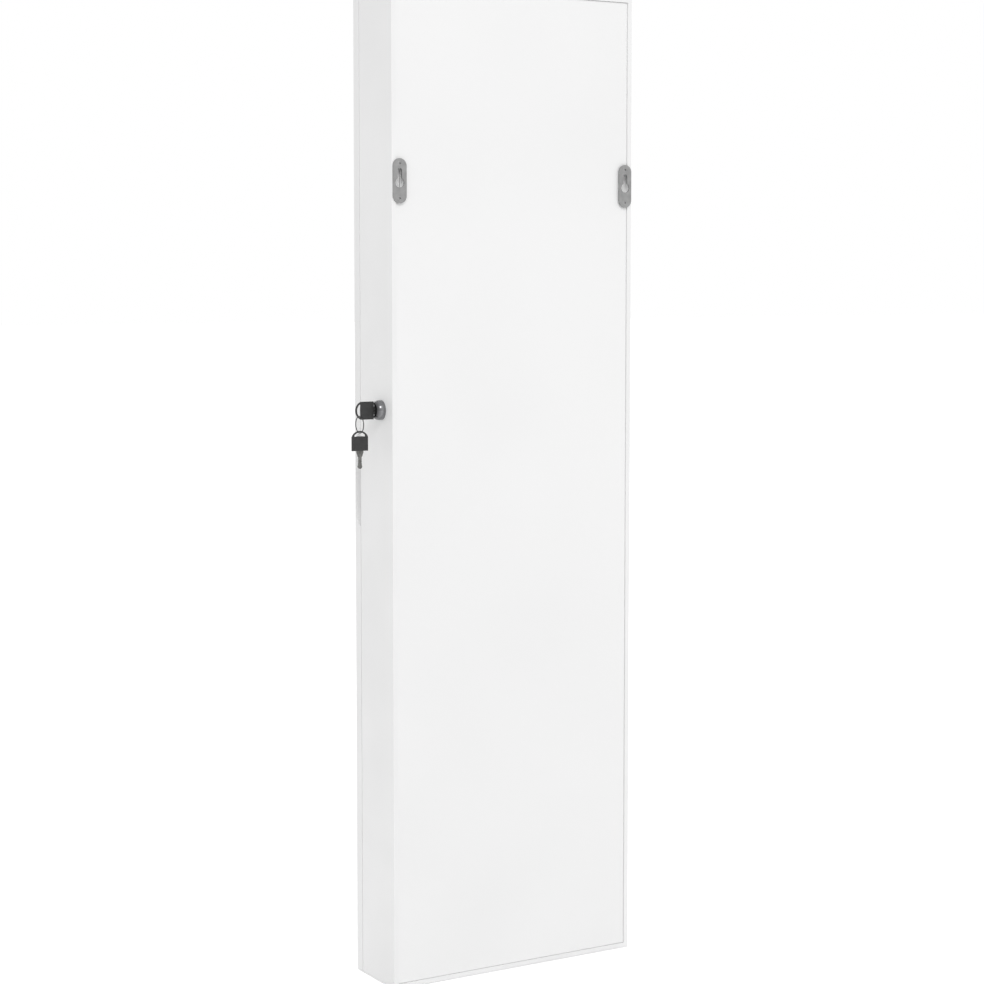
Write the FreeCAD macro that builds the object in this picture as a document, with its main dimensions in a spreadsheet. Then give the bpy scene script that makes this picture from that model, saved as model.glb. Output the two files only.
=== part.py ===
"""Wall-hung jewelry cabinet behind a mirror door, with a cam lock and its two keys.

Millimetres. +Z is up, the mirror faces -Y and the wall is the plane y = 0. The origin lies midway
between the two keyhole hanger plates, at the height of their entry holes.
"""
import FreeCAD, Part
import math
import os
import re

import Sketcher
from FreeCAD import Placement, Rotation, Vector

SIZES = {
    # case
    "cabinet_width": 300,
    "cabinet_height": 1060,
    "case_depth": 72,
    "board_thick": 12,
    "rim_width": 5,
    "panel_recess": 1.5,
    "panel_thick": 3,
    "panel_gap": 0.4,
    "edge_round": 0.6,
    "lining_thick": 2,
    "lining_gap": 0.3,
    "fit_gap": 0.05,
    # dowels in the corners
    "dowel_radius": 3,
    "dowel_in_side": 8,
    "dowel_in_end": 22,
    "dowel_rear_inset": 18,
    "dowel_front_inset": 14,
    # keyhole hanger plates
    "hang_drop": 206.8,
    "hanger_inset": 8.8,
    "hanger_width": 16,
    "hanger_length": 46.5,
    "hanger_thick": 1.5,
    "hanger_rise": 1.8,
    "entry_radius": 5.2,
    "neck_radius": 2.5,
    "neck_rise": 12.3,
    "pocket_radius": 6,
    "hanger_screw_spacing": 36,
    "hanger_screw_radius": 1.4,
    "hanger_head_radius": 2.9,
    "hanger_screw_length": 13,
    "boss_radius": 3.6,
    # shelves and their rails
    "shelf_thick": 8,
    "shelf_setback": 3.5,
    "dado_depth": 3,
    "lower_shelf_height": 118,
    "middle_shelf_height": 240,
    "top_bay": 130,
    "rail_radius": 2,
    "rail_lift": 26,
    "rail_setback": 4,
    "rail_seat": 5,
    # ring tray under the upper shelf
    "tray_height": 122,
    "tray_depth": 26,
    "tray_wall": 4,
    "tray_floor": 3,
    "ring_roll_count": 5,
    "roll_gap": 0.15,
    # necklace hooks
    "hook_rail_drop": 14,
    "hook_rail_height": 22,
    "hook_rail_thick": 8,
    "hook_rail_inset": 8,
    "hook_rail_length": 150,
    "hook_count": 7,
    "hook_pitch": 21,
    "hook_wire": 1.2,
    "hook_seat": 5,
    "hook_reach": 12,
    "hook_bend": 4,
    "hook_tip": 4,
    # earring plate
    "earring_inset": 22,
    "earring_width": 84,
    "earring_height": 196,
    "earring_thick": 3,
    "earring_lift": 34,
    "earring_stand": 16,
    "stand_radius": 3.5,
    "earring_rows": 4,
    "slots_per_row": 6,
    "slot_width": 1.8,
    "slot_length": 14,
    # bracelet bar in the top bay
    "bracelet_radius": 5,
    "bracelet_drop": 48,
    "socket_radius": 9,
    "socket_length": 7,
    "socket_base": 2,
    "socket_flange": 3,
    "socket_cup": 7,
    # magnetic catch
    "catch_inset": 37,
    "catch_width": 46,
    "catch_depth": 15,
    "catch_height": 13,
    "magnet_width": 34,
    "magnet_depth": 9,
    "magnet_height": 6,
    "catch_plate_width": 38,
    "catch_plate_height": 11,
    "catch_plate_thick": 0.8,
    # door
    "door_gap": 1,
    "door_thick": 12,
    "stile_width": 32,
    "lip_thick": 3,
    "door_rabbet": 8,
    "mirror_thick": 3,
    "mirror_gap": 0.5,
    "backing_thick": 3,
    "door_dowel_radius": 2.5,
    "door_dowel_seat": 16,
    "bumper_radius": 4,
    "bumper_thick": 0.9,
    "bumper_inset": 40,
    # finger pull in the door's edge
    "pull_radius": 9.5,
    "pull_below_lock": 36.5,
    "pull_length": 81,
    # hinges
    "hinge_length": 50,
    "hinge_end": 110,
    "leaf_width": 11,
    "leaf_thick": 1,
    "leaf_play": 0.05,
    "mortise_gap": 0.1,
    "pin_radius": 1.25,
    "knuckle_wall": 0.95,
    "knuckle_gap": 0.2,
    "knuckle_clear": 0.25,
    "pin_head": 1.2,
    "hinge_screw_spacing": 30,
    "hinge_screw_radius": 1.2,
    "hinge_head_radius": 2.05,
    "hinge_screw_length": 9,
    # lock
    "lock_rise": 86,
    "lock_setback": 25,
    "barrel_radius": 8,
    "flange_radius": 10.5,
    "flange_thick": 1.2,
    "head_reach": 9,
    "head_radius": 7.6,
    "head_dome": 9.5,
    "plug_radius": 5.5,
    "plug_lip": 0.7,
    "plug_lip_length": 2,
    "plug_recess": 0.4,
    "nut_flats": 20,
    "nut_thick": 3,
    "cam_gap": 0.1,
    "cam_thick": 2,
    "cam_square": 6,
    "cam_hub": 8,
    "arm_half": 5,
    "hook_drop": 11,
    "hook_clear": 0.4,
    "cam_tip": 5.5,
    "cam_screw_radius": 1.5,
    "cam_screw_head": 3.8,
    "cam_screw_crown": 3,
    "cam_screw_head_thick": 1.5,
    "cam_screw_length": 6,
    # strike on the door
    "strike_width": 10,
    "strike_thick": 1.5,
    "strike_clear": 1,
    "strike_reach": 36,
    "strike_under_arm": 0.5,
    "strike_under_hook": 1.5,
    "strike_foot": 22,
    "strike_screw_spacing": 10,
    "strike_screw_radius": 1.3,
    "strike_head_radius": 2.4,
    "strike_screw_length": 8,
    # keys
    "key_stand_off": 0.5,
    "bow_width": 18.8,
    "bow_length": 21,
    "bow_thick": 2.4,
    "bow_corner": 6.4,
    "bow_edge": 0.5,
    "bow_rim": 2.95,
    "bow_tip_rim": 1.5,
    "crescent_width": 4.2,
    "crescent_sag": 2.9,
    "crescent_end": 1.7,
    "blade_thick": 1.8,
    "blade_width": 4.7,
    "blade_length": 18.8,
    "collar_width": 7.7,
    "collar_length": 1.6,
    "collar_taper": 4.4,
    "tang_length": 6,
    "tang_width": 5,
    "waist_width": 3.8,
    "bit_first": 0.4,
    "bit_pitch": 2.4,
    "bit_slope": 0.9,
    "bit_depth": 0.6,
    "keyway_gap": 0.15,
    "collar_clear": 0.3,
    # ring
    "wire_radius": 0.5,
    "ring_radius": 8.9,
    "wire_clear": 0.4,
    "spare_clear": 0.3,
}

DOC = FreeCAD.newDocument("JewelryMirrorCabinet")
SHEET = DOC.addObject("Spreadsheet::Sheet", "Sizes")
for row, (size_name, size) in enumerate(SIZES.items(), start=1):
    SHEET.set(f"A{row}", size_name)
    SHEET.set(f"B{row}", str(size))
    SHEET.setAlias(f"B{row}", size_name)
DOC.recompute()

FULL = 360
QUARTER = 90
NAMES = re.compile(r"\b(" + "|".join(sorted(SIZES, key=len, reverse=True)) + r")\b")
PARTS = []


# ---------------------------------------------------------------- expressions and placing

def bound(text):
    """The expression with every size name pointing at its cell."""
    return NAMES.sub(r"Sizes.\1", str(text))


def value(text):
    """The expression's number at the present sizes."""
    return float(SHEET.evalExpression(bound(text)))


def place(obj, x="0", y="0", z="0", turn=None):
    """Set an object's Placement: a fixed turn about an axis, and a position tied to the sizes."""
    if turn:
        axis, angle = turn
        obj.Placement = Placement(Vector(), Rotation(Vector(*axis), angle))
    for letter, text in zip("xyz", (x, y, z)):
        obj.setExpression(f".Placement.Base.{letter}", bound(text))


def part(obj, label):
    """Name a finished sub-part and put it on the list that is written out."""
    obj.Label = label
    PARTS.append(obj)
    return obj


# Heights and depths that several pieces share.
UNDERSIDE = "(hang_drop - cabinet_height)"
MIDDLE = "(hang_drop - cabinet_height / 2)"
LOCK_HEIGHT = f"({MIDDLE} + lock_rise)"
INNER_WIDTH = "(cabinet_width - 2 * board_thick)"
RABBET_DEPTH = "(panel_recess + panel_thick)"
LINING_FACE = f"({RABBET_DEPTH} + lining_thick)"
CASE_REAR = "(-hanger_thick)"
CASE_FRONT = "(-hanger_thick - case_depth)"
DOOR_REAR = f"({CASE_FRONT} - door_gap)"
SEAM = f"({CASE_FRONT} - door_gap / 2)"
SHELF_DEPTH = f"(case_depth - {LINING_FACE} - shelf_setback)"
UPPER_SHELF = "(cabinet_height - board_thick - top_bay - shelf_thick)"
TRAY_BOTTOM = f"({UPPER_SHELF} - tray_height)"
SHELVES = {"lower": "lower_shelf_height", "middle": "middle_shelf_height", "upper": UPPER_SHELF}
RAILS = {
    "bottom": "(board_thick + rail_lift)",
    "lower": "(lower_shelf_height + shelf_thick + rail_lift)",
    "middle": "(middle_shelf_height + shelf_thick + rail_lift)",
}
RAIL_DEPTH = "(case_depth - shelf_setback - rail_setback)"
HOOK_RAIL_LEFT = f"(hook_rail_inset - {INNER_WIDTH} / 2)"
EARRING_LEFT = f"({INNER_WIDTH} / 2 - earring_inset - earring_width)"
CATCH_MIDDLE = f"({INNER_WIDTH} / 2 - catch_inset - catch_width / 2)"
HINGES = {
    "upper": "(cabinet_height - hinge_end)",
    "middle": "(cabinet_height / 2)",
    "lower": "hinge_end",
}
KNUCKLE = "(pin_radius + knuckle_wall)"
PIN_OUT = f"({KNUCKLE} + knuckle_clear)"
LOCK_AT = "(cabinet_height / 2 + lock_rise)"
LOCK_Y = "(-hanger_thick - lock_setback)"
BORE = "(plug_radius + fit_gap)"
LOCK_INSIDE = "(board_thick + nut_thick)"
HANG_LEVEL = "(cabinet_height - hang_drop)"


# ---------------------------------------------------------------- sketches

def plane_of(body, role):
    """One of a body's own origin planes."""
    return next(item for item in body.Origin.OriginFeatures if item.Role == role + "_Plane")


def tie(sketch, kind, shape, point, text):
    """A horizontal or vertical distance from the sketch's origin, tied to the sizes."""
    index = sketch.addConstraint(Sketcher.Constraint(kind, -1, 1, shape, point, value(text)))
    sketch.setExpression(f"Constraints[{index}]", bound(text))


def tie_point(sketch, shape, point, x, y):
    tie(sketch, "DistanceX", shape, point, x)
    tie(sketch, "DistanceY", shape, point, y)


def tie_radius(sketch, shape, text):
    index = sketch.addConstraint(Sketcher.Constraint("Radius", shape, value(text)))
    sketch.setExpression(f"Constraints[{index}]", bound(text))


def which_end(sketch, shape, spot):
    """1 for the start and 2 for the end of a line or arc, whichever lies on the spot."""
    return 1 if (sketch.Geometry[shape].StartPoint - spot).Length < 1e-6 else 2


def outline(points, bends=None):
    """A closed outline. bends gives a bent side's radius, and 1 or -1 for its centre's side."""
    bends = bends or {}

    def draw(sketch):
        spots = [Vector(value(x), value(y), 0) for x, y in points]
        shapes = []
        for index, start in enumerate(spots):
            end = spots[(index + 1) % len(spots)]
            if index in bends:
                shapes.append(sketch.addGeometry(bent_side(start, end, bends[index]), False))
            else:
                shapes.append(sketch.addGeometry(Part.LineSegment(start, end), False))
        for index, shape in enumerate(shapes):
            corner = spots[index]
            before = shapes[index - 1]
            ends = (before, which_end(sketch, before, corner), shape, which_end(sketch, shape, corner))
            sketch.addConstraint(Sketcher.Constraint("Coincident", *ends))
            tie_point(sketch, shape, which_end(sketch, shape, corner), *points[index])
        for index, (radius, _) in bends.items():
            tie_radius(sketch, shapes[index], radius)

    return draw


def bent_side(start, end, bend):
    """An arc between two points, its centre on the left (1) or the right (-1) of the way."""
    text, side = bend
    radius = value(text)
    chord = end - start
    middle = (start + end) * 0.5
    left = Vector(-chord.y, chord.x, 0).normalize()
    height = math.sqrt(max(radius ** 2 - chord.Length ** 2 / 4, 0))
    top = middle + left * side * (height - radius)
    return Part.Arc(start, top, end) if side > 0 else Part.Arc(end, top, start)


def rectangle(left, low, right, high):
    return outline([(left, low), (right, low), (right, high), (left, high)])


def circle(x, y, radius):
    def draw(sketch):
        shape = sketch.addGeometry(
            Part.Circle(Vector(value(x), value(y), 0), Vector(0, 0, 1), value(radius)), False)
        tie_point(sketch, shape, 3, x, y)
        tie_radius(sketch, shape, radius)

    return draw


def upright_slot(x, low, high, radius):
    """A slot with round ends, given by its two centres, one above the other."""

    def draw(sketch):
        r = value(radius)
        feet = Vector(value(x), value(low), 0)
        top = Vector(value(x), value(high), 0)
        across = Vector(r, 0, 0)
        up = Vector(0, r, 0)
        shapes = [
            sketch.addGeometry(Part.Arc(feet - across, feet - up, feet + across), False),
            sketch.addGeometry(Part.LineSegment(feet + across, top + across), False),
            sketch.addGeometry(Part.Arc(top + across, top + up, top - across), False),
            sketch.addGeometry(Part.LineSegment(top - across, feet - across), False),
        ]
        meetings = (feet + across, top + across, top - across, feet - across)
        for index, spot in enumerate(meetings):
            one = shapes[index]
            two = shapes[(index + 1) % 4]
            ends = (one, which_end(sketch, one, spot), two, which_end(sketch, two, spot))
            sketch.addConstraint(Sketcher.Constraint("Tangent", *ends))
        tie_point(sketch, shapes[0], 3, x, low)
        tie_point(sketch, shapes[2], 3, x, high)
        tie_radius(sketch, shapes[0], radius)
        sketch.addConstraint(Sketcher.Constraint("Equal", shapes[0], shapes[2]))

    return draw


def sketch_on(body, plane, loops, lift="0", rise="0"):
    """A sketch on a body's XY, XZ or YZ plane, lifted along that plane's normal (+Z, -Y, +X).
    rise moves its origin up its own plane."""
    sketch = body.newObject("Sketcher::SketchObject", "Sketch")
    sketch.AttachmentSupport = [(plane_of(body, plane), "")]
    sketch.MapMode = "FlatFace"
    sketch.setExpression(".AttachmentOffset.Base.z", bound(lift))
    sketch.setExpression(".AttachmentOffset.Base.y", bound(rise))
    for loop in loops:
        loop(sketch)
    return sketch


# ---------------------------------------------------------------- features

def new_body(label, x="0", y="0", z="0", turn=None):
    body = DOC.addObject("PartDesign::Body", label)
    place(body, x, y, z, turn)
    return body


def finish(body, feature):
    body.Tip = feature
    DOC.recompute()
    return feature


def pad(body, plane, loops, length, lift="0"):
    """Material along the plane's normal, from lift."""
    feature = body.newObject("PartDesign::Pad", "Pad")
    feature.Profile = sketch_on(body, plane, loops, lift)
    feature.setExpression("Length", bound(length))
    return finish(body, feature)


def cut(body, plane, loops, length, lift="0"):
    """A pocket along the plane's normal, from lift. It has to take something away."""
    before = body.Shape.Volume
    feature = body.newObject("PartDesign::Pocket", "Pocket")
    feature.Profile = sketch_on(body, plane, loops, lift)
    feature.Reversed = True
    feature.setExpression("Length", bound(length))
    finish(body, feature)
    if body.Shape.Volume >= before:
        raise RuntimeError(f"a pocket in {body.Label} cuts nothing")
    return feature


def revolve(body, plane, loops, axis, lift="0", rise="0", angle=FULL):
    """A piece turned about the sketch's H_Axis or V_Axis, the other way where angle is negative."""
    sketch = sketch_on(body, plane, loops, lift, rise)
    feature = body.newObject("PartDesign::Revolution", "Revolution")
    feature.Profile = sketch
    feature.ReferenceAxis = (sketch, [axis])
    feature.Angle = abs(angle)
    feature.Reversed = angle < 0
    return finish(body, feature)


def dress(body, kind, size, test):
    """A Fillet or Chamfer on the edges of the body's present shape that pass the test."""
    edges = [f"Edge{number}" for number, edge in enumerate(body.Shape.Edges, start=1) if test(edge)]
    if not edges:
        raise RuntimeError(f"no edge of {body.Label} to dress")
    base = body.Tip
    feature = body.newObject(f"PartDesign::{kind}", kind)
    feature.Base = (base, edges)
    feature.setExpression("Radius" if kind == "Fillet" else "Size", bound(size))
    return finish(body, feature)


def on_plane(edge, letter, place_text):
    """True when the whole edge lies at one value of x, y or z."""
    box = edge.BoundBox
    low = getattr(box, letter.upper() + "Min")
    high = getattr(box, letter.upper() + "Max")
    target = value(place_text)
    return abs(low - target) < 0.01 and abs(high - target) < 0.01


def runs_along_x(edge):
    return edge.BoundBox.XLength > edge.BoundBox.YLength


def repeat(label, source, spots):
    """One node of equal solids: links to a body, each with a placement of its own."""
    links = []
    for x, y, z in spots:
        link = DOC.addObject("App::Link", "Link")
        link.LinkedObject = source
        link.Placement = source.Placement
        place(link, x, y, z)
        links.append(link)
    group = DOC.addObject("Part::Compound", label)
    group.Links = links
    return part(group, label)


def rod(label, radius, length, x, y, z, axis):
    """A plain round bar along x or y, as a cylinder."""
    turn = {"x": ((0, 1, 0), 90), "y": ((1, 0, 0), 90)}[axis]
    bar = DOC.addObject("Part::Cylinder", label)
    bar.setExpression("Radius", bound(radius))
    bar.setExpression("Height", bound(length))
    place(bar, x, y, z, turn)
    return bar


def countersunk_screw(label, shank, head, length):
    """A screw along -Y from its flat head's face at the origin, a 45 degree cone under the head."""
    body = new_body(label)
    cone = f"({head} - {shank})"
    profile = outline([("0", "0"), (head, "0"), (shank, f"-{cone}"), (shank, f"-{length}"),
                       ("0", f"-{length}")])
    revolve(body, "XY", [profile], "V_Axis")
    return body


# ---------------------------------------------------------------- case

def into_inside(inner, hand, depth):
    """Where a cut starts that goes this deep into an upright from its inner face."""
    return inner if hand > 0 else f"({inner} - {depth})"


def side_board(label, hand):
    """An upright: rim and rabbet at the rear, dados for the shelves, blind holes and pockets.
    hand is 1 on the lock side, at +X, and -1 on the hinge side."""
    body = new_body(label, f"{hand} * cabinet_width / 2", CASE_REAR, UNDERSIDE)
    inner = f"({-hand} * board_thick)"
    rim = f"({-hand} * rim_width)"
    hanger_x = f"({-hand} * hanger_inset)"
    pad(body, "XZ", [rectangle("0", "0", inner, "cabinet_height")], "case_depth")
    dress(body, "Fillet", "edge_round",
          lambda edge: on_plane(edge, "x", f"{hand} * cabinet_width / 2"))
    cut(body, "XZ", [rectangle(rim, "rim_width", inner, "cabinet_height - rim_width")], RABBET_DEPTH)
    cut(body, "XZ", [upright_slot(hanger_x, HANG_LEVEL, f"{HANG_LEVEL} + neck_rise", "pocket_radius")],
        LINING_FACE)
    cut(body, "XZ", [circle(hanger_x, f"{HANG_LEVEL} + {offset}", "hanger_screw_radius + fit_gap")
                     for offset in hanger_screw_heights()],
        f"hanger_screw_length - hanger_thick - {RABBET_DEPTH}", RABBET_DEPTH)
    cut(body, "YZ", [rectangle(f"-{RABBET_DEPTH}", height, f"-{LINING_FACE} - {SHELF_DEPTH}",
                               f"{height} + shelf_thick") for height in SHELVES.values()],
        "dado_depth", into_inside(inner, hand, "dado_depth"))
    cut(body, "YZ", [circle(f"-{RAIL_DEPTH}", height, "rail_radius + fit_gap")
                     for height in RAILS.values()], "rail_seat", into_inside(inner, hand, "rail_seat"))
    cut(body, "YZ", [circle(depth, height, "dowel_radius + fit_gap")
                     for depth in dowel_depths() for height in dowel_heights()],
        "dowel_in_side", into_inside(inner, hand, "dowel_in_side"))
    if hand > 0:
        cut(body, "YZ", [circle("-lock_setback", LOCK_AT, "barrel_radius + fit_gap")],
            "board_thick", inner)
    else:
        hinge_seats(body, "1", "case_depth", "-")
    return part(body, label)


def hanger_screw_heights():
    """Heights of a hanger plate's two screws from its entry hole."""
    return [f"(hanger_rise + {end} * hanger_screw_spacing / 2)" for end in (-1, 1)]


def dowel_depths():
    return ("(-dowel_rear_inset)", "(-case_depth + dowel_front_inset)")


def dowel_heights():
    return ("(board_thick / 2)", "(cabinet_height - board_thick / 2)")


def hinge_seats(body, outward, face, inward):
    """Shallow mortises for the three leaves in a flat face, with the screws' pilot holes."""
    depth = "(leaf_thick + leaf_play - door_gap / 2)"
    edge = f"(leaf_width + mortise_gap) * {outward}"
    lift = f"({face} - {depth})" if inward == "-" else face
    loops = []
    holes = []
    for height in HINGES.values():
        half = "(hinge_length / 2 + mortise_gap)"
        loops.append(rectangle("0", f"{height} - {half}", edge, f"{height} + {half}"))
        for end in (-1, 1):
            holes.append(circle(f"leaf_width / 2 * {outward}", f"{height} + {end} * hinge_screw_spacing / 2",
                                "hinge_screw_radius + fit_gap"))
    cut(body, "XZ", loops, depth, lift)
    pilot = "(hinge_screw_length - leaf_thick)"
    floor = f"({face} - {depth} - {pilot})" if inward == "-" else f"({face} + {depth})"
    cut(body, "XZ", holes, pilot, floor)


def end_board(label, up):
    """The bottom (up = 1) or top (up = -1) board, between the uprights."""
    base = UNDERSIDE if up > 0 else "hang_drop"
    body = new_body(label, "0", CASE_REAR, base)
    thick = f"({up} * board_thick)"
    rim = f"({up} * rim_width)"
    profile = outline([("0", "0"), ("0", rim), (f"-{RABBET_DEPTH}", rim), (f"-{RABBET_DEPTH}", thick),
                       ("-case_depth", thick), ("-case_depth", "0")])
    pad(body, "YZ", [profile], INNER_WIDTH, f"-{INNER_WIDTH} / 2")
    dress(body, "Fillet", "edge_round", lambda edge: on_plane(edge, "z", base) and runs_along_x(edge))
    for start in (f"-{INNER_WIDTH} / 2", f"({INNER_WIDTH} / 2 - dowel_in_end)"):
        cut(body, "YZ", [circle(depth, f"{up} * board_thick / 2", "dowel_radius + fit_gap")
                         for depth in dowel_depths()], "dowel_in_end", start)
    return part(body, label)


def corner_dowels():
    length = "(dowel_in_side + dowel_in_end)"
    source = rod("dowel", "dowel_radius", length, "0", "0", "0", "x")
    starts = (f"({INNER_WIDTH} / 2 - dowel_in_end)", f"(-{INNER_WIDTH} / 2 - dowel_in_side)")
    spots = [(start, f"{CASE_REAR} + {depth}", f"{UNDERSIDE} + {height}")
             for start in starts for depth in dowel_depths() for height in dowel_heights()]
    return repeat("corner_dowels", source, spots)


def back_panel():
    """The thin back in its rabbet, open behind the keyholes for the wall screws' heads."""
    body = new_body("back_panel", "0", f"{CASE_REAR} - panel_recess", "0")
    half = "(cabinet_width / 2 - rim_width - panel_gap)"
    low = f"({UNDERSIDE} + rim_width + panel_gap)"
    pad(body, "XZ", [rectangle(f"-{half}", low, half, "hang_drop - rim_width - panel_gap")],
        "panel_thick")
    for hand in (-1, 1):
        x = f"({hand} * (cabinet_width / 2 - hanger_inset))"
        loops = [upright_slot(x, "0", "neck_rise", "pocket_radius")]
        loops += [circle(x, height, "hanger_screw_radius + fit_gap")
                  for height in hanger_screw_heights()]
        cut(body, "XZ", loops, "panel_thick")
    return part(body, "back_panel")


def back_lining():
    """The velvet-faced board that the inside shows at the back."""
    body = new_body("back_lining", "0", f"{CASE_REAR} - {RABBET_DEPTH}", UNDERSIDE)
    half = f"({INNER_WIDTH} / 2 - lining_gap)"
    pad(body, "XZ", [rectangle(f"-{half}", "board_thick + lining_gap", half,
                               "cabinet_height - board_thick - lining_gap")], "lining_thick")
    return part(body, "back_lining")


def hanger_plate(label, hand):
    """A stamped keyhole plate whose screw seats are pressed down onto the back panel."""
    body = new_body(label, f"{hand} * (cabinet_width / 2 - hanger_inset)", "0", "0")
    end = "((hanger_length - hanger_width) / 2)"
    pad(body, "XZ", [upright_slot("0", f"hanger_rise - {end}", f"hanger_rise + {end}",
                                  "hanger_width / 2")], "hanger_thick")
    pad(body, "XZ", [circle("0", height, "boss_radius") for height in hanger_screw_heights()],
        "panel_recess", "hanger_thick")
    cut(body, "XZ", [circle("0", "0", "entry_radius")], "hanger_thick")
    cut(body, "XZ", [upright_slot("0", "0", "neck_rise", "neck_radius")], "hanger_thick")
    hole = "(hanger_screw_radius + fit_gap)"
    cut(body, "XZ", [circle("0", height, hole) for height in hanger_screw_heights()],
        "hanger_thick + panel_recess")
    dress(body, "Chamfer", "hanger_head_radius - hanger_screw_radius",
          lambda edge: on_plane(edge, "y", "0") and is_circle(edge, hole))
    return part(body, label)


def is_circle(edge, radius):
    curve = edge.Curve
    return isinstance(curve, Part.Circle) and abs(curve.Radius - value(radius)) < 0.001


def hanger_screws():
    source = countersunk_screw("hanger_screw", "hanger_screw_radius", "hanger_head_radius",
                               "hanger_screw_length")
    spots = [(f"{hand} * (cabinet_width / 2 - hanger_inset)", "0", height)
             for hand in (-1, 1) for height in hanger_screw_heights()]
    return repeat("hanger_screws", source, spots)


# ---------------------------------------------------------------- jewelry fittings

def shelf(label, height):
    body = new_body(label, "0", f"{CASE_REAR} - {LINING_FACE}", f"{UNDERSIDE} + {height}")
    half = f"({INNER_WIDTH} / 2 + dado_depth)"
    front = f"{CASE_REAR} - {LINING_FACE} - {SHELF_DEPTH}"
    pad(body, "XY", [rectangle(f"-{half}", f"-{SHELF_DEPTH}", half, "0")], "shelf_thick")
    dress(body, "Fillet", "edge_round", lambda edge: on_plane(edge, "y", front) and runs_along_x(edge))
    return part(body, label)


def shelf_rail(label, height):
    """A low bar that keeps bottles on a shelf, let into both uprights."""
    bar = rod(label, "rail_radius", f"{INNER_WIDTH} + 2 * rail_seat",
              f"-{INNER_WIDTH} / 2 - rail_seat", f"{CASE_REAR} - {RAIL_DEPTH}",
              f"{UNDERSIDE} + {height}", "x")
    return part(bar, label)


def ring_tray():
    """A shallow open tray that hangs under the upper shelf, against the lining."""
    body = new_body("ring_tray", "0", f"{CASE_REAR} - {LINING_FACE}", f"{UNDERSIDE} + {TRAY_BOTTOM}")
    half = f"({INNER_WIDTH} / 2 - lining_gap)"
    inner = f"({half} - tray_wall)"
    pad(body, "XZ", [rectangle(f"-{half}", "0", half, "tray_height")], "tray_depth")
    cut(body, "XZ", [rectangle(f"-{inner}", "tray_wall", inner, "tray_height - tray_wall")],
        "tray_depth - tray_floor", "tray_floor")
    return part(body, "ring_tray")


def ring_rolls():
    """Padded rolls, one above the other, that grip the rings between them."""
    pitch = "((tray_height - 2 * tray_wall) / ring_roll_count)"
    length = f"({INNER_WIDTH} - 2 * lining_gap - 2 * tray_wall - 2 * roll_gap)"
    source = rod("ring_roll", f"{pitch} / 2 - roll_gap", length, "0", "0", "0", "x")
    depth = f"({CASE_REAR} - {LINING_FACE} - tray_floor - {pitch} / 2)"
    lowest = f"({UNDERSIDE} + {TRAY_BOTTOM} + tray_wall + {pitch} / 2)"
    spots = [(f"-{length} / 2", depth, f"{lowest} + {pitch} * {step}")
             for step in range(int(value("ring_roll_count")))]
    return repeat("ring_rolls", source, spots)


def hook_places():
    first = f"({HOOK_RAIL_LEFT} + hook_rail_length / 2 - hook_pitch * (hook_count - 1) / 2)"
    return [f"({first} + {step} * hook_pitch)" for step in range(int(value("hook_count")))]


def hook_rail_middle():
    return f"({TRAY_BOTTOM} - hook_rail_drop - hook_rail_height / 2)"


def hook_rail():
    body = new_body("hook_rail", HOOK_RAIL_LEFT, f"{CASE_REAR} - {LINING_FACE}",
                    f"{UNDERSIDE} + {hook_rail_middle()}")
    pad(body, "XZ", [rectangle("0", "-hook_rail_height / 2", "hook_rail_length", "hook_rail_height / 2")],
        "hook_rail_thick")
    face = f"{CASE_REAR} - {LINING_FACE} - hook_rail_thick"
    dress(body, "Fillet", "edge_round", lambda edge: on_plane(edge, "y", face))
    holes = [circle(f"{x} - {HOOK_RAIL_LEFT}", "0", "hook_wire + fit_gap") for x in hook_places()]
    cut(body, "XZ", holes, "hook_seat", "hook_rail_thick - hook_seat")
    return part(body, "hook_rail")


def necklace_hooks():
    """Bent wire hooks: a shank let into the rail, a quarter bend and a short upright tip."""
    body = new_body("necklace_hook")
    pad(body, "XZ", [circle("0", "0", "hook_wire")], "hook_seat + hook_reach", "-hook_seat")
    revolve(body, "XZ", [circle("0", "-hook_bend", "hook_wire")], "H_Axis", "hook_reach", "hook_bend",
            -QUARTER)
    pad(body, "XY", [circle("0", "-hook_reach - hook_bend", "hook_wire")], "hook_tip", "hook_bend")
    face = f"({CASE_REAR} - {LINING_FACE} - hook_rail_thick)"
    spots = [(x, face, f"{UNDERSIDE} + {hook_rail_middle()}") for x in hook_places()]
    return repeat("necklace_hooks", body, spots)


def earring_base():
    return "(middle_shelf_height + shelf_thick + earring_lift)"


def earring_corners():
    inset = "(2 * stand_radius)"
    return [(x, height) for x in (inset, f"(earring_width - {inset})")
            for height in (inset, f"(earring_height - {inset})")]


def earring_plate():
    """A slotted plate for ear posts, standing off the lining."""
    body = new_body("earring_plate", EARRING_LEFT,
                    f"{CASE_REAR} - {LINING_FACE} - earring_stand", f"{UNDERSIDE} + {earring_base()}")
    pad(body, "XZ", [rectangle("0", "0", "earring_width", "earring_height")], "earring_thick")
    dress(body, "Fillet", "stand_radius", lambda edge: edge.BoundBox.YLength > value("earring_thick / 2"))
    across = "(earring_width / (slots_per_row + 1))"
    upward = "(earring_height / (earring_rows + 1))"
    column = [rectangle(f"{across} - slot_width / 2", f"{upward} * {number} - slot_length / 2",
                        f"{across} + slot_width / 2", f"{upward} * {number} + slot_length / 2")
              for number in range(1, int(value("earring_rows")) + 1)]
    first = cut(body, "XZ", column, "earring_thick")
    pattern = body.newObject("PartDesign::LinearPattern", "Pattern")
    pattern.Originals = [first]
    pattern.Direction = (first.Profile[0], ["H_Axis"])
    pattern.setExpression("Length", bound(f"{across} * (slots_per_row - 1)"))
    pattern.setExpression("Occurrences", bound("slots_per_row"))
    finish(body, pattern)
    return part(body, "earring_plate")


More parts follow.
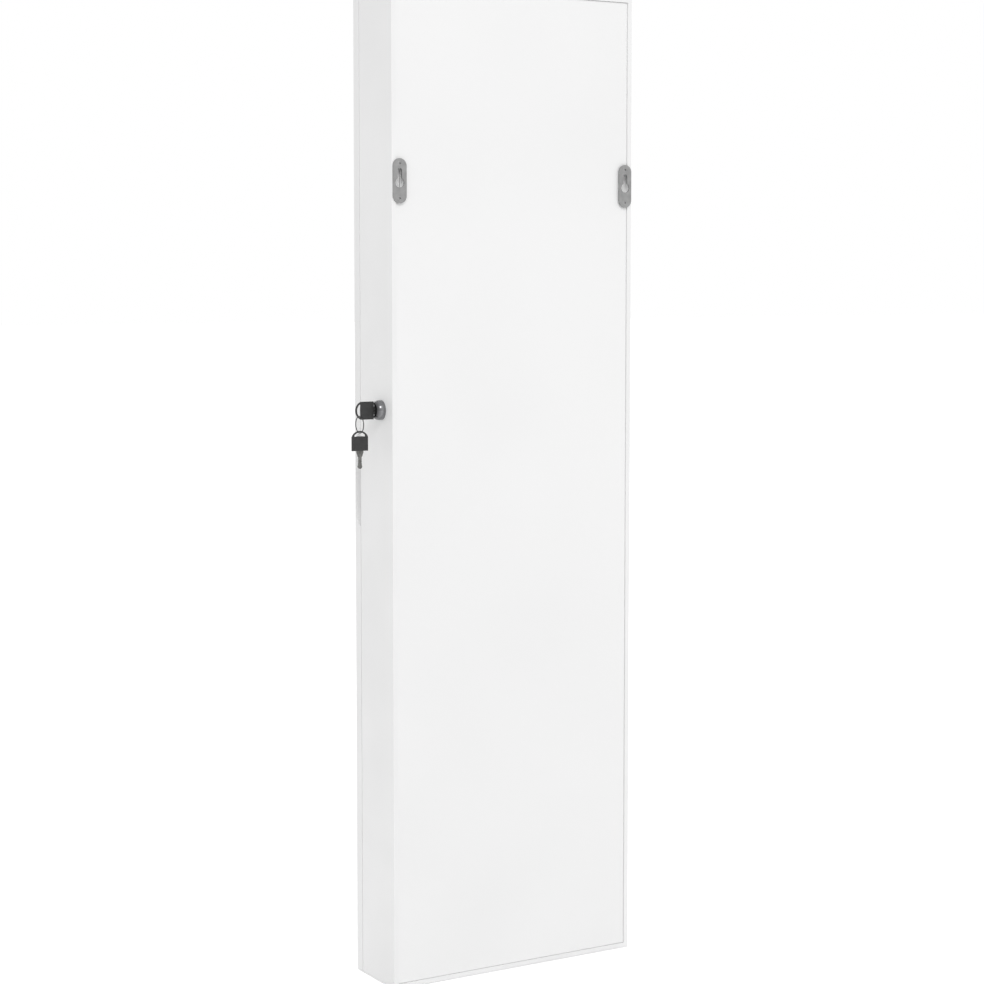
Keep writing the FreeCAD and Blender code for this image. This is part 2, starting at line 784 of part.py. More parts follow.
def earring_stands():
    source = rod("earring_stand", "stand_radius", "earring_stand", "0", "0", "0", "y")
    spots = [(f"{EARRING_LEFT} + {x}", f"{CASE_REAR} - {LINING_FACE}",
              f"{UNDERSIDE} + {earring_base()} + {height}") for x, height in earring_corners()]
    return repeat("earring_stands", source, spots)


BRACELET_Y = f"({CASE_REAR} - ({LINING_FACE} + case_depth) / 2)"
BRACELET_Z = "(hang_drop - board_thick - bracelet_drop)"


def bracelet_bar():
    length = f"({INNER_WIDTH} - 2 * socket_base)"
    return part(rod("bracelet_bar", "bracelet_radius", length, f"-{length} / 2", BRACELET_Y, BRACELET_Z,
                    "x"), "bracelet_bar")


def bracelet_sockets():
    """Two turned cups on the uprights that hold the bracelet bar's ends."""
    group = []
    for hand in (-1, 1):
        body = new_body("bracelet_socket", f"{hand} * {INNER_WIDTH} / 2", BRACELET_Y, BRACELET_Z)
        reach = f"({-hand} * socket_length)"
        base = f"({-hand} * socket_base)"
        flange = f"({-hand} * socket_flange)"
        bore = "(bracelet_radius + fit_gap)"
        profile = outline([("0", "0"), ("0", "socket_radius"), (flange, "socket_radius"),
                           (flange, "socket_cup"), (reach, "socket_cup"), (reach, bore), (base, bore),
                           (base, "0")])
        revolve(body, "XY", [profile], "H_Axis")
        group.append(body)
    node = DOC.addObject("Part::Compound", "bracelet_sockets")
    node.Links = group
    return part(node, "bracelet_sockets")


def catch_housing():
    """The magnetic catch's case under the top board, open toward the door."""
    body = new_body("catch_housing", f"{CATCH_MIDDLE} - catch_width / 2", CASE_FRONT,
                    "hang_drop - board_thick")
    pad(body, "XZ", [rectangle("0", "-catch_height", "catch_width", "0")], "catch_depth", "-catch_depth")
    side = "((catch_width - magnet_width) / 2)"
    low = "(-(catch_height + magnet_height) / 2)"
    cut(body, "XZ", [rectangle(side, low, f"{side} + magnet_width", f"{low} + magnet_height")],
        "magnet_depth", "-magnet_depth")
    return part(body, "catch_housing")


def catch_magnet():
    body = new_body("catch_magnet", f"{CATCH_MIDDLE} - magnet_width / 2", CASE_FRONT,
                    "hang_drop - board_thick - (catch_height + magnet_height) / 2")
    pad(body, "XZ", [rectangle("0", "0", "magnet_width", "magnet_height")], "magnet_depth",
        "-magnet_depth")
    return part(body, "catch_magnet")


def catch_plate():
    body = new_body("catch_plate", f"{CATCH_MIDDLE} - catch_plate_width / 2", DOOR_REAR,
                    "hang_drop - board_thick - catch_height / 2 - catch_plate_height / 2")
    pad(body, "XZ", [rectangle("0", "0", "catch_plate_width", "catch_plate_height")],
        "catch_plate_thick", "-catch_plate_thick")
    return part(body, "catch_plate")


# ---------------------------------------------------------------- hinges

def hinge_segments(first):
    """Bottom heights of one leaf's knuckles among the five, counted from the hinge's middle."""
    return [f"(-hinge_length / 2 + {number} * hinge_length / 5 + knuckle_gap / 2)"
            for number in range(first, 5, 2)]


def hinge_leaf(label, height, rear):
    """A butt hinge leaf with its knuckles about the pin. rear is True for the leaf on the case."""
    body = new_body(label, f"-cabinet_width / 2 - {PIN_OUT}", SEAM, f"{UNDERSIDE} + {height}")
    lift = "(-leaf_play - leaf_thick)" if rear else "leaf_play"
    tall = "(hinge_length / 5 - knuckle_gap)"
    flat = rectangle(PIN_OUT, "-hinge_length / 2", f"{PIN_OUT} + leaf_width", "hinge_length / 2")
    pad(body, "XZ", [flat], "leaf_thick", lift)
    segments = hinge_segments(0 if rear else 1)
    pad(body, "XZ", [rectangle("0", low, PIN_OUT, f"{low} + {tall}") for low in segments],
        "leaf_thick", lift)
    for low in segments:
        pad(body, "XY", [circle("0", "0", KNUCKLE)], tall, low)
    cut(body, "XY", [circle("0", "0", "pin_radius + fit_gap")], "hinge_length", "-hinge_length / 2")
    hole = "(hinge_screw_radius + fit_gap)"
    cut(body, "XZ", [circle(f"{PIN_OUT} + leaf_width / 2", f"{end} * hinge_screw_spacing / 2", hole)
                     for end in (-1, 1)], "leaf_thick", lift)
    face = f"{SEAM} + leaf_play" if rear else f"{SEAM} - leaf_play"
    dress(body, "Chamfer", "hinge_head_radius - hinge_screw_radius",
          lambda edge: on_plane(edge, "y", face) and is_circle(edge, hole))
    return part(body, label)


def hinge_pin(label, height):
    """The pin: its two heads close over the outer knuckles' ends."""
    body = new_body(label, f"-cabinet_width / 2 - {PIN_OUT}", SEAM, f"{UNDERSIDE} + {height}")
    end = "(hinge_length / 2 - knuckle_gap / 2)"
    profile = outline([("0", f"-{end} - pin_head"), (KNUCKLE, f"-{end}"), ("pin_radius", f"-{end}"),
                       ("pin_radius", end), (KNUCKLE, end), ("0", f"{end} + pin_head")],
                      {0: (f"({KNUCKLE} * {KNUCKLE} + pin_head * pin_head) / (2 * pin_head)", 1),
                       4: (f"({KNUCKLE} * {KNUCKLE} + pin_head * pin_head) / (2 * pin_head)", 1)})
    revolve(body, "XZ", [profile], "V_Axis")
    return part(body, label)


def hinge_screws(label, rear):
    source = countersunk_screw(label + "_one", "hinge_screw_radius", "hinge_head_radius",
                               "hinge_screw_length")
    if rear:
        source.Placement = Placement(Vector(), Rotation(Vector(0, 0, 1), 180))
    face = f"{SEAM} + leaf_play" if rear else f"{SEAM} - leaf_play"
    spots = [("-cabinet_width / 2 + leaf_width / 2", face,
              f"{UNDERSIDE} + {height} + {end} * hinge_screw_spacing / 2")
             for height in HINGES.values() for end in (-1, 1)]
    return repeat(label, source, spots)


# ---------------------------------------------------------------- door

def stile(label, hand):
    """A door upright: front lip, rabbet for the mirror, hinge mortises or the finger pull."""
    body = new_body(label, f"{hand} * cabinet_width / 2", DOOR_REAR, UNDERSIDE)
    inner = f"({-hand} * stile_width)"
    step = f"({-hand} * (stile_width - door_rabbet))"
    pad(body, "XZ", [rectangle("0", "0", inner, "cabinet_height")], "door_thick")
    dress(body, "Fillet", "edge_round",
          lambda edge: on_plane(edge, "x", f"{hand} * cabinet_width / 2"))
    end = "(stile_width - door_rabbet)"
    cut(body, "XZ", [rectangle(step, end, inner, f"cabinet_height - {end}")], "door_thick - lip_thick")
    seat = into_inside(inner, hand, "door_dowel_seat")
    cut(body, "YZ", [circle("-door_thick / 2", height, "door_dowel_radius + fit_gap")
                     for height in door_dowel_heights()], "door_dowel_seat", seat)
    if hand > 0:
        finger_pull(body)
        strike_pilots(body)
    else:
        hinge_seats(body, "1", "0", "+")
    return part(body, label)


def door_dowel_heights():
    middle = "((stile_width - door_rabbet) / 2)"
    return (middle, f"(cabinet_height - {middle})")


def finger_pull(body):
    """A round-ended cove in the rear outer edge, cut by a ball and its straight run."""
    top = f"({LOCK_AT} - pull_below_lock)"
    bottom = f"({top} - pull_length)"
    profile = outline([("0", f"{bottom} - pull_radius"), ("pull_radius", bottom), ("pull_radius", top),
                       ("0", f"{top} + pull_radius")],
                      {0: ("pull_radius", 1), 2: ("pull_radius", 1)})
    run = sketch_on(body, "XZ", [profile])
    before = body.Shape.Volume
    groove = body.newObject("PartDesign::Groove", "Groove")
    groove.Profile = run
    groove.ReferenceAxis = (run, ["V_Axis"])
    groove.Angle = FULL
    finish(body, groove)
    if body.Shape.Volume >= before:
        raise RuntimeError("the finger pull cuts nothing")


def strike_pilots(body):
    cut(body, "XZ", [circle(f"{STRIKE_X} - cabinet_width / 2", f"{height} - {UNDERSIDE}",
                            "strike_screw_radius + fit_gap") for height in strike_screw_heights()],
        "strike_screw_length - strike_thick")


def door_rail(label, up):
    """The door's bottom (up = 1) or top (up = -1) rail, between the stiles."""
    base = UNDERSIDE if up > 0 else "hang_drop"
    body = new_body(label, "0", DOOR_REAR, base)
    wide = "(stile_width - door_rabbet)"
    half = "(cabinet_width / 2 - stile_width)"
    profile = outline([("0", "0"), ("0", f"{up} * {wide}"),
                       ("lip_thick - door_thick", f"{up} * {wide}"),
                       ("lip_thick - door_thick", f"{up} * stile_width"),
                       ("-door_thick", f"{up} * stile_width"), ("-door_thick", "0")])
    pad(body, "YZ", [profile], f"2 * {half}", f"-{half}")
    dress(body, "Fillet", "edge_round", lambda edge: on_plane(edge, "z", base) and runs_along_x(edge))
    for start in (f"-{half}", f"({half} - door_dowel_seat)"):
        cut(body, "YZ", [circle("-door_thick / 2", f"{up} * {wide} / 2", "door_dowel_radius + fit_gap")],
            "door_dowel_seat", start)
    return part(body, label)


def door_dowels():
    source = rod("door_dowel", "door_dowel_radius", "2 * door_dowel_seat", "0", "0", "0", "x")
    half = "(cabinet_width / 2 - stile_width)"
    spots = [(f"{hand} * {half} - door_dowel_seat", f"{DOOR_REAR} - door_thick / 2",
              f"{UNDERSIDE} + {height}") for hand in (-1, 1) for height in door_dowel_heights()]
    return repeat("door_dowels", source, spots)


RABBET_HALF = "(cabinet_width / 2 - stile_width + door_rabbet)"
RABBET_LOW = "(stile_width - door_rabbet)"
BEAD_THICK = "(door_thick - lip_thick - mirror_thick - backing_thick)"


def door_sheet(label, front_gap, thick):
    """The mirror or its backing board, in the door's rabbet behind the lip."""
    body = new_body(label, "0", f"{DOOR_REAR} - door_thick + lip_thick + {front_gap}", UNDERSIDE)
    half = f"({RABBET_HALF} - mirror_gap)"
    pad(body, "XZ", [rectangle(f"-{half}", f"{RABBET_LOW} + mirror_gap", half,
                               f"cabinet_height - {RABBET_LOW} - mirror_gap")], thick)
    return part(body, label)


def door_beads():
    """Four thin beads that close the rabbet over the backing board."""
    wide = "door_rabbet"
    high = f"(cabinet_height - {RABBET_LOW})"
    bars = (
        (f"-{RABBET_HALF}", RABBET_LOW, f"-{RABBET_HALF} + {wide}", high),
        (f"{RABBET_HALF} - {wide}", RABBET_LOW, RABBET_HALF, high),
        (f"-{RABBET_HALF} + {wide}", RABBET_LOW, f"{RABBET_HALF} - {wide}", f"{RABBET_LOW} + {wide}"),
        (f"-{RABBET_HALF} + {wide}", f"{high} - {wide}", f"{RABBET_HALF} - {wide}", high),
    )
    group = []
    for bar in bars:
        body = new_body("door_bead", "0", DOOR_REAR, UNDERSIDE)
        pad(body, "XZ", [rectangle(*bar)], BEAD_THICK)
        group.append(body)
    node = DOC.addObject("Part::Compound", "door_beads")
    node.Links = group
    return part(node, "door_beads")


def door_bumpers():
    """Soft round buttons with sloping rims, on the lock side, that meet the case's front edge."""
    body = new_body("door_bumper")
    profile = outline([("0", "0"), ("bumper_radius", "0"), ("bumper_radius - bumper_thick", "bumper_thick"),
                       ("0", "bumper_thick")])
    revolve(body, "XY", [profile], "V_Axis")
    spots = [("cabinet_width / 2 - board_thick / 2", DOOR_REAR, f"{UNDERSIDE} + {height}")
             for height in ("bumper_inset", "(cabinet_height - bumper_inset)")]
    return repeat("door_bumpers", body, spots)


# ---------------------------------------------------------------- lock

CAM_X = f"({LOCK_INSIDE} + cam_gap)"
HOOK_INNER = "(sqrt((strike_reach + strike_thick)^2 + hook_drop^2) + hook_clear)"
HOOK_OUTER = f"({HOOK_INNER} + cam_tip)"
STRIKE_X = "(cabinet_width / 2 - board_thick - strike_clear - strike_width / 2)"


def at_lock(label):
    return new_body(label, "cabinet_width / 2", LOCK_Y, LOCK_HEIGHT)


def lock_housing():
    """A turned shell: barrel through the board, flange on the side face, domed head."""
    body = at_lock("lock_housing")
    seat = "(head_reach - plug_recess - plug_lip_length - fit_gap)"
    lip_bore = f"({BORE} + plug_lip)"
    profile = outline([(f"-{LOCK_INSIDE}", BORE), (f"-{LOCK_INSIDE}", "barrel_radius"),
                       ("0", "barrel_radius"), ("0", "flange_radius"),
                       ("flange_thick", "flange_radius"), ("head_reach", "head_radius"),
                       ("head_reach", lip_bore), (seat, lip_bore), (seat, BORE)],
                      {4: ("head_dome", -1)})
    revolve(body, "XY", [profile], "H_Axis")
    return part(body, "lock_housing")


def lock_nut():
    body = at_lock("lock_nut")
    corner = "(nut_flats / 2 / cos(30))"
    points = [(f"{corner} * cos({60 * step})", f"{corner} * sin({60 * step})") for step in range(6)]
    pad(body, "YZ", [outline(points), circle("0", "0", "barrel_radius + fit_gap")], "nut_thick",
        f"-{LOCK_INSIDE}")
    return part(body, "lock_nut")


def lock_plug():
    """The turning core: a lip that keeps it in, the keyway, and the square end for the cam."""
    body = at_lock("lock_plug")
    front = "(head_reach - plug_recess)"
    profile = outline([(f"-{CAM_X}", "0"), (f"-{CAM_X}", "plug_radius"),
                       (f"{front} - plug_lip_length", "plug_radius"),
                       (f"{front} - plug_lip_length", "plug_radius + plug_lip"),
                       (front, "plug_radius + plug_lip"), (front, "0")])
    revolve(body, "XY", [profile], "H_Axis")
    half = "(cam_square / 2)"
    pad(body, "YZ", [rectangle(f"-{half}", f"-{half}", half, half)], "cam_thick",
        f"-{CAM_X} - cam_thick")
    slot_half = "(blade_thick / 2 + keyway_gap)"
    slot_high = "(blade_width / 2 + keyway_gap)"
    depth = f"({front} - head_reach - key_stand_off + blade_length + keyway_gap)"
    cut(body, "YZ", [rectangle(f"-{slot_half}", f"-{slot_high}", slot_half, slot_high)], depth,
        f"{front} - {depth}")
    collar_high = "(collar_width / 2 + keyway_gap)"
    collar_end = "(head_reach + key_stand_off - collar_length - collar_clear)"
    mouth = outline([(f"({collar_end} - collar_taper)", f"-{slot_high}"), (collar_end, f"-{collar_high}"),
                     (front, f"-{collar_high}"), (front, collar_high), (collar_end, collar_high),
                     (f"({collar_end} - collar_taper)", slot_high)])
    cut(body, "XZ", [mouth], f"2 * {slot_half}", f"-{slot_half}")
    cut(body, "YZ", [circle("0", "0", "cam_screw_radius + fit_gap")], "cam_screw_length",
        f"-{CAM_X} - cam_thick")
    return part(body, "lock_plug")


def lock_cam():
    """The hook cam, arm up while the lock is open. Its hook drops behind the strike's lip."""
    body = at_lock("lock_cam")
    lift = f"-{CAM_X} - cam_thick"
    arm = outline([("-arm_half", "0"), ("arm_half", "0"),
                   ("arm_half", f"sqrt({HOOK_OUTER}^2 - arm_half^2)"),
                   ("-hook_drop", f"sqrt({HOOK_OUTER}^2 - hook_drop^2)"),
                   ("-hook_drop", f"sqrt({HOOK_INNER}^2 - hook_drop^2)"),
                   ("-arm_half", f"sqrt({HOOK_INNER}^2 - arm_half^2)")],
                  {2: (HOOK_OUTER, 1), 4: (HOOK_INNER, -1)})
    pad(body, "YZ", [arm], "cam_thick", lift)
    pad(body, "YZ", [circle("0", "0", "cam_hub")], "cam_thick", lift)
    half = "(cam_square / 2 + fit_gap)"
    cut(body, "YZ", [rectangle(f"-{half}", f"-{half}", half, half)], "cam_thick", lift)
    return part(body, "lock_cam")


def cam_screw():
    body = at_lock("cam_screw")
    back = f"(-{CAM_X} - cam_thick)"
    profile = outline([(f"{back} - cam_screw_head_thick", "0"),
                       (f"{back} - cam_screw_head_thick", "cam_screw_crown"),
                       (f"{back} - cam_screw_head_thick / 2", "cam_screw_head"),
                       (back, "cam_screw_head"), (back, "cam_screw_radius"),
                       (f"{back} + cam_screw_length", "cam_screw_radius"),
                       (f"{back} + cam_screw_length", "0")])
    revolve(body, "XY", [profile], "H_Axis")
    return part(body, "cam_screw")


LIP_TOP = "(-arm_half - strike_under_arm)"
LEG_TOP = "(-hook_drop - strike_under_hook)"


def strike_screw_heights():
    middle = f"({LOCK_HEIGHT} + {LEG_TOP} - strike_thick - strike_foot / 2)"
    return [f"({middle} + {side} * strike_screw_spacing / 2)" for side in (-1, 1)]


def lock_strike():
    """A bent strip: foot on the stile, leg toward the rear, lip that the cam's hook holds."""
    body = new_body("lock_strike", f"{STRIKE_X} - strike_width / 2", DOOR_REAR, LOCK_HEIGHT)
    lip = "(case_depth + door_gap - lock_setback - strike_reach)"
    foot = f"({LEG_TOP} - strike_thick - strike_foot)"
    profile = outline([("0", foot), ("strike_thick", foot), ("strike_thick", f"{LEG_TOP} - strike_thick"),
                       (lip, f"{LEG_TOP} - strike_thick"), (lip, LIP_TOP),
                       (f"{lip} - strike_thick", LIP_TOP), (f"{lip} - strike_thick", LEG_TOP),
                       ("0", LEG_TOP)])
    pad(body, "YZ", [profile], "strike_width")
    hole = "(strike_screw_radius + fit_gap)"
    cut(body, "XZ", [circle("strike_width / 2", f"{height} - {LOCK_HEIGHT}", hole)
                     for height in strike_screw_heights()], "strike_thick", "-strike_thick")
    face = f"{DOOR_REAR} + strike_thick"
    dress(body, "Chamfer", "strike_head_radius - strike_screw_radius",
          lambda edge: on_plane(edge, "y", face) and is_circle(edge, hole))
    return part(body, "lock_strike")


def strike_screws():
    source = countersunk_screw("strike_screw", "strike_screw_radius", "strike_head_radius",
                               "strike_screw_length")
    spots = [(STRIKE_X, f"{DOOR_REAR} + strike_thick", height) for height in strike_screw_heights()]
    return repeat("strike_screws", source, spots)


# ---------------------------------------------------------------- keys and ring

KEY_OUT = "(head_reach + key_stand_off)"
CRESCENT_START = "(bow_length - bow_tip_rim - crescent_sag - crescent_end)"
CRESCENT_HALF = "(bow_width / 2 - bow_rim)"


def key_blade(label, x, y, z, turn=None):
    """The flat steel blade along -X from the bow: a tapered collar, a cut waist and a round tip."""
    body = new_body(label, x, y, z, turn)
    half = "(blade_width / 2)"
    waist = "(waist_width / 2)"
    edge = [("0", "(tang_width / 2)"), ("0", "(collar_width / 2)"),
            ("-collar_length", "(collar_width / 2)"), ("(-collar_length - collar_taper)", half)]
    edge += bitting(waist)
    edge.append((f"(-blade_length + {half} + sqrt({half}^2 - {waist}^2))", waist))
    points = [("tang_length", "(-tang_width / 2)"), ("tang_length", "(tang_width / 2)")] + edge
    points.append(("-blade_length", "0"))
    tip = len(points) - 1
    points += [(x_text, f"-{z_text}") for x_text, z_text in reversed(edge)]
    round_tip = {tip - 1: (half, 1), tip: (half, 1)}
    pad(body, "XZ", [outline(points, round_tip)], "blade_thick", "-blade_thick / 2")
    return part(body, label)


def bitting(half):
    """Shallow V cuts at an even pitch along one edge of a blade, each to its own depth."""
    points = []
    for number, depth in enumerate(("bit_depth * 3 / 5", "bit_depth", "bit_depth * 4 / 5")):
        start = f"(-collar_length - collar_taper - bit_first - bit_pitch * {number})"
        points.append((start, half))
        points.append((f"({start} - bit_slope)", f"({half} - {depth})"))
        points.append((f"({start} - 2 * bit_slope)", half))
    return points


def key_bow(label, x, y, z, turn=None):
    """The moulded grip: square at the blade, arched at the outer end, with a crescent hole."""
    body = new_body(label, x, y, z, turn)
    half = "(bow_width / 2)"
    shoulder = "(bow_length - bow_corner)"
    pad(body, "XZ", [bow_outline(half, shoulder)], "bow_thick", "-bow_thick / 2")
    cut(body, "XZ", [crescent()], "bow_thick", "-bow_thick / 2")
    dress(body, "Fillet", "bow_edge",
          lambda edge: any(on_plane(edge, "y", f"{LOCK_Y} + {side} * bow_thick / 2") for side in (-1, 1)))
    cut(body, "XZ", [rectangle("0", "-tang_width / 2", "tang_length", "tang_width / 2")],
        "blade_thick", "-blade_thick / 2")
    return part(body, label)


def bow_outline(half, shoulder):
    """A square base, two straight sides and one arch over the outer end."""
    arch = "((bow_width^2 / 4 + bow_corner^2) / (2 * bow_corner))"
    return outline([("0", f"-{half}"), (shoulder, f"-{half}"), (shoulder, half), ("0", half)],
                   {1: (arch, 1)})


def crescent():
    """The hole under the arch, blunt at both ends, with its inner side bent a little outward."""
    wide = CRESCENT_HALF
    outer = f"(({wide}^2 + crescent_sag^2) / (2 * crescent_sag))"
    sag = "(crescent_end + crescent_sag - crescent_width)"
    inner = f"(({wide}^2 + {sag}^2) / (2 * {sag}))"
    far = f"({CRESCENT_START} + crescent_end)"
    return outline([(CRESCENT_START, f"-{wide}"), (far, f"-{wide}"), (far, wide), (CRESCENT_START, wide)],
                   {1: (outer, 1), 3: (inner, -1)})


RING_X = f"(cabinet_width / 2 + {KEY_OUT} + {CRESCENT_START} + crescent_end - wire_radius)"
RIM_Z = "(-(bow_width - bow_rim) / 2)"
WIRE_OFF = "(bow_rim / 2 + wire_clear + wire_radius)"
RING_Z = f"({LOCK_HEIGHT} + {RIM_Z} + {WIRE_OFF} - ring_radius)"
SPARE_BOW_Z = f"({RING_Z} - ring_radius + wire_radius + spare_clear + bow_tip_rim - bow_length)"


def key_ring():
    """A closed wire ring in an upright plane, through the bow's hole and round its lower rim."""
    ring = DOC.addObject("Part::Torus", "key_ring")
    ring.setExpression("Radius1", bound("ring_radius"))
    ring.setExpression("Radius2", bound("wire_radius"))
    place(ring, RING_X, LOCK_Y, RING_Z, ((0, 1, 0), 90))
    return part(ring, "key_ring")


def build():
    for hand, side in ((-1, "left"), (1, "right")):
        side_board(f"case_side_{side}", hand)
        hanger_plate(f"hanger_plate_{side}", hand)
        stile(f"door_stile_{side}", hand)
    for up, end in ((1, "bottom"), (-1, "top")):
        end_board(f"case_{end}", up)
        door_rail(f"door_rail_{end}", up)
    for name, height in SHELVES.items():
        shelf(f"shelf_{name}", height)
    for name, height in RAILS.items():
        shelf_rail(f"shelf_rail_{name}", height)
    for name, height in HINGES.items():
        hinge_leaf(f"hinge_{name}_case_leaf", height, True)
        hinge_leaf(f"hinge_{name}_door_leaf", height, False)
        hinge_pin(f"hinge_{name}_pin", height)
    hinge_screws("hinge_case_screws", True)
    hinge_screws("hinge_door_screws", False)
    corner_dowels()
    back_panel()
    back_lining()
    hanger_screws()
    ring_tray()
    ring_rolls()
    hook_rail()
    necklace_hooks()
    earring_plate()
    earring_stands()
    bracelet_bar()
    bracelet_sockets()
    catch_housing()
    catch_magnet()
    catch_plate()
    door_dowels()
    door_sheet("mirror", "mirror_thick", "mirror_thick")
    door_sheet("door_backing", "mirror_thick + backing_thick", "backing_thick")
    door_beads()
    door_bumpers()
    lock_housing()
    lock_nut()
    lock_plug()
    lock_cam()
    cam_screw()
    lock_strike()
    strike_screws()
    key_x = f"cabinet_width / 2 + {KEY_OUT}"
    key_blade("key_blade", key_x, LOCK_Y, LOCK_HEIGHT)
    key_bow("key_bow", key_x, LOCK_Y, LOCK_HEIGHT)
    key_ring()
    upright = ((0, 1, 0), -90)
    key_blade("spare_key_blade", RING_X, LOCK_Y, SPARE_BOW_Z, upright)
    key_bow("spare_key_bow", RING_X, LOCK_Y, SPARE_BOW_Z, upright)


def check_and_write():
    """Stop on any failed object or bad shape, then write one STEP file for each sub-part."""
    DOC.recompute()
    for obj in DOC.Objects:
        if {"Invalid", "Error"} & set(obj.State):
            raise RuntimeError(f"{obj.Name} ({obj.Label}) is {obj.State}")
    for obj in PARTS:
        if obj.Shape.isNull() or not obj.Shape.isValid():
            raise RuntimeError(f"{obj.Label} has no valid shape")
    os.makedirs("parts", exist_ok=True)
    for obj in PARTS:
        obj.Shape.exportStep(f"parts/{obj.Label}.step")
    print(len(PARTS), "sub-parts written")


build()
check_and_write()
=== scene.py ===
"""Looks of a wall-hung jewelry cabinet: white boards, mirror door, lock, keys and velvet inside.

Metres. The cabinet's frame has +Z up, the mirror toward -Y and the wall plane at y = 0.
"""
import math
import random

import bmesh
import bpy
from bpy.props import FloatProperty, FloatVectorProperty, IntProperty, PointerProperty
from mathutils import Matrix, Vector, noise


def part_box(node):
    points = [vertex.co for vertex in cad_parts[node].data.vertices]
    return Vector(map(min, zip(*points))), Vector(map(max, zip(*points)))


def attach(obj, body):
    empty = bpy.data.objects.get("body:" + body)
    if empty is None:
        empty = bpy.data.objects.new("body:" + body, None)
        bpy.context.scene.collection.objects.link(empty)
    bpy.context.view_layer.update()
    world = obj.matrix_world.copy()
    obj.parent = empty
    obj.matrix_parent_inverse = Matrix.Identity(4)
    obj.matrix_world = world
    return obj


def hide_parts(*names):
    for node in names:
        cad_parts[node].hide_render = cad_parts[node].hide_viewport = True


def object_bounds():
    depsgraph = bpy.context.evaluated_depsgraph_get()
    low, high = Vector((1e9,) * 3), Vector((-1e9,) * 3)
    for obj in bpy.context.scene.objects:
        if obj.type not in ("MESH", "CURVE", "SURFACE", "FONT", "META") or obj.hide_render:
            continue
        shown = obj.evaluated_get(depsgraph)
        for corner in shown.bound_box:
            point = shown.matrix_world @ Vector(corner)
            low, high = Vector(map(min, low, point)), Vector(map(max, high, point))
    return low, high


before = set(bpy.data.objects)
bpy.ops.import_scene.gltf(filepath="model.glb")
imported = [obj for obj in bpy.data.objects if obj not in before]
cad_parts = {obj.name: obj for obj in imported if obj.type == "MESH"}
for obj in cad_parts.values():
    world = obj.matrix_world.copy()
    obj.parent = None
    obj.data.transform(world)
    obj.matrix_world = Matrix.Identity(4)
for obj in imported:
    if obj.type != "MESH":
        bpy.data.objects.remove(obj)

bl_info = {
    "name": "Jewelry Mirror Cabinet",
    "version": (1, 0, 0),
    "blender": (4, 5, 0),
    "location": "View3D > Sidebar > Cabinet",
    "description": "Finishes, soft ring rolls and screw heads for a wall-hung jewelry cabinet",
    "category": "Object",
}

MM = 0.001
CAD_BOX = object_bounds()
SQUARE = ((-1, -1), (1, -1), (1, 1), (-1, 1))
BLOTCH_LOW, BLOTCH_HIGH = 0.35, 0.65        # where most of a noise's values lie
SHARE, FROM, TO, BLENDED = 0, 6, 7, 2       # sockets of a node that mixes two colours
SHARP_EDGE = math.radians(30)
SCREW_SHARP_EDGE = math.radians(32)
SCREW_SIDES = 28
SHANK = 0.49                                # a screw's shank and recess, as shares of its head's radius
CROSS_REACH, CROSS_WIDTH, CROSS_DEPTH = 0.55, 0.12, 0.32
HEAD_RIM = 0.12
THREAD_ROOT, THREAD_PITCH = 0.74, 0.9       # as shares of the shank's radius
ROLL_SHOULDER, ROLL_END, ROLL_DIMPLE = 0.9, 0.18, 0.12      # as shares of a ring roll's radius
ROLL_GATHERS = 11                           # folds round a roll's end
WANDER_ALONG, WANDER_ROUND = 22, 1.2        # how quickly a roll's foam swells and thins
ROLL_SEED_STEP = 1.7                        # sets each roll's folds off from the last one's
BEHIND, BESIDE = -0.6, -0.4                 # the way a face looks, on the axis to the wall
SENSOR = 36.0
NEAREST_SEEN = 0.05
FLOOR_GAP = 0.5 * MM
FLOOR_GLOW = 0.45                           # what the camera, metal and glass see the floor give off
LAMP_SIDE = 2.2
KEY_LAMP_AT = (1.76, 4.7, 3.7)
FRONT_LAMP_AT = (-1.1, -2.6, 1.4)


# ---------------------------------------------------------------- colours and nodes

def linear(code):
    """An sRGB hex colour as the linear RGBA that shaders take."""
    parts = [int(code[start:start + 2], 16) / 255 for start in (1, 3, 5)]
    return tuple(p / 12.92 if p <= 0.04045 else ((p + 0.055) / 1.055) ** 2.4 for p in parts) + (1.0,)


def add_node(tree, kind, sockets=None, **settings):
    """Add one node. A socket's value is either a plain value or the output that feeds it."""
    node = tree.nodes.new(kind)
    for name, setting in settings.items():
        setattr(node, name, setting)
    for name, source in (sockets or {}).items():
        if isinstance(source, bpy.types.NodeSocket):
            tree.links.new(source, node.inputs[name])
        else:
            node.inputs[name].default_value = source
    return node


def start_material(name, **constants):
    """A material with one Principled shader, and that shader's constant sockets."""
    material = bpy.data.materials.new(name)
    material.use_nodes = True
    shader = material.node_tree.nodes["Principled BSDF"]
    for socket, setting in constants.items():
        shader.inputs[socket.replace("_", " ")].default_value = setting
    return material, material.node_tree, shader


def mottle(tree, size, low=None, high=None, stretch=(1, 1, 1), detail=2.0):
    """Blotches of about this size, in metres, on the piece itself: plain, or spread from low to high."""
    spot = add_node(tree, "ShaderNodeTexCoord").outputs["Object"]
    spot = add_node(tree, "ShaderNodeMapping", {"Vector": spot, "Scale": stretch}).outputs["Vector"]
    blotch = add_node(tree, "ShaderNodeTexNoise", {"Vector": spot, "Scale": 1 / size, "Detail": detail,
                                                   "Roughness": 0.5}).outputs["Fac"]
    if low is None:
        return blotch
    return add_node(tree, "ShaderNodeMapRange", {"Value": blotch, "From Min": BLOTCH_LOW,
                                                 "From Max": BLOTCH_HIGH, "To Min": low,
                                                 "To Max": high}).outputs["Result"]


def darkened(colour, share):
    """A share of a colour's light."""
    red, green, blue, alpha = colour
    return red * share, green * share, blue * share, alpha


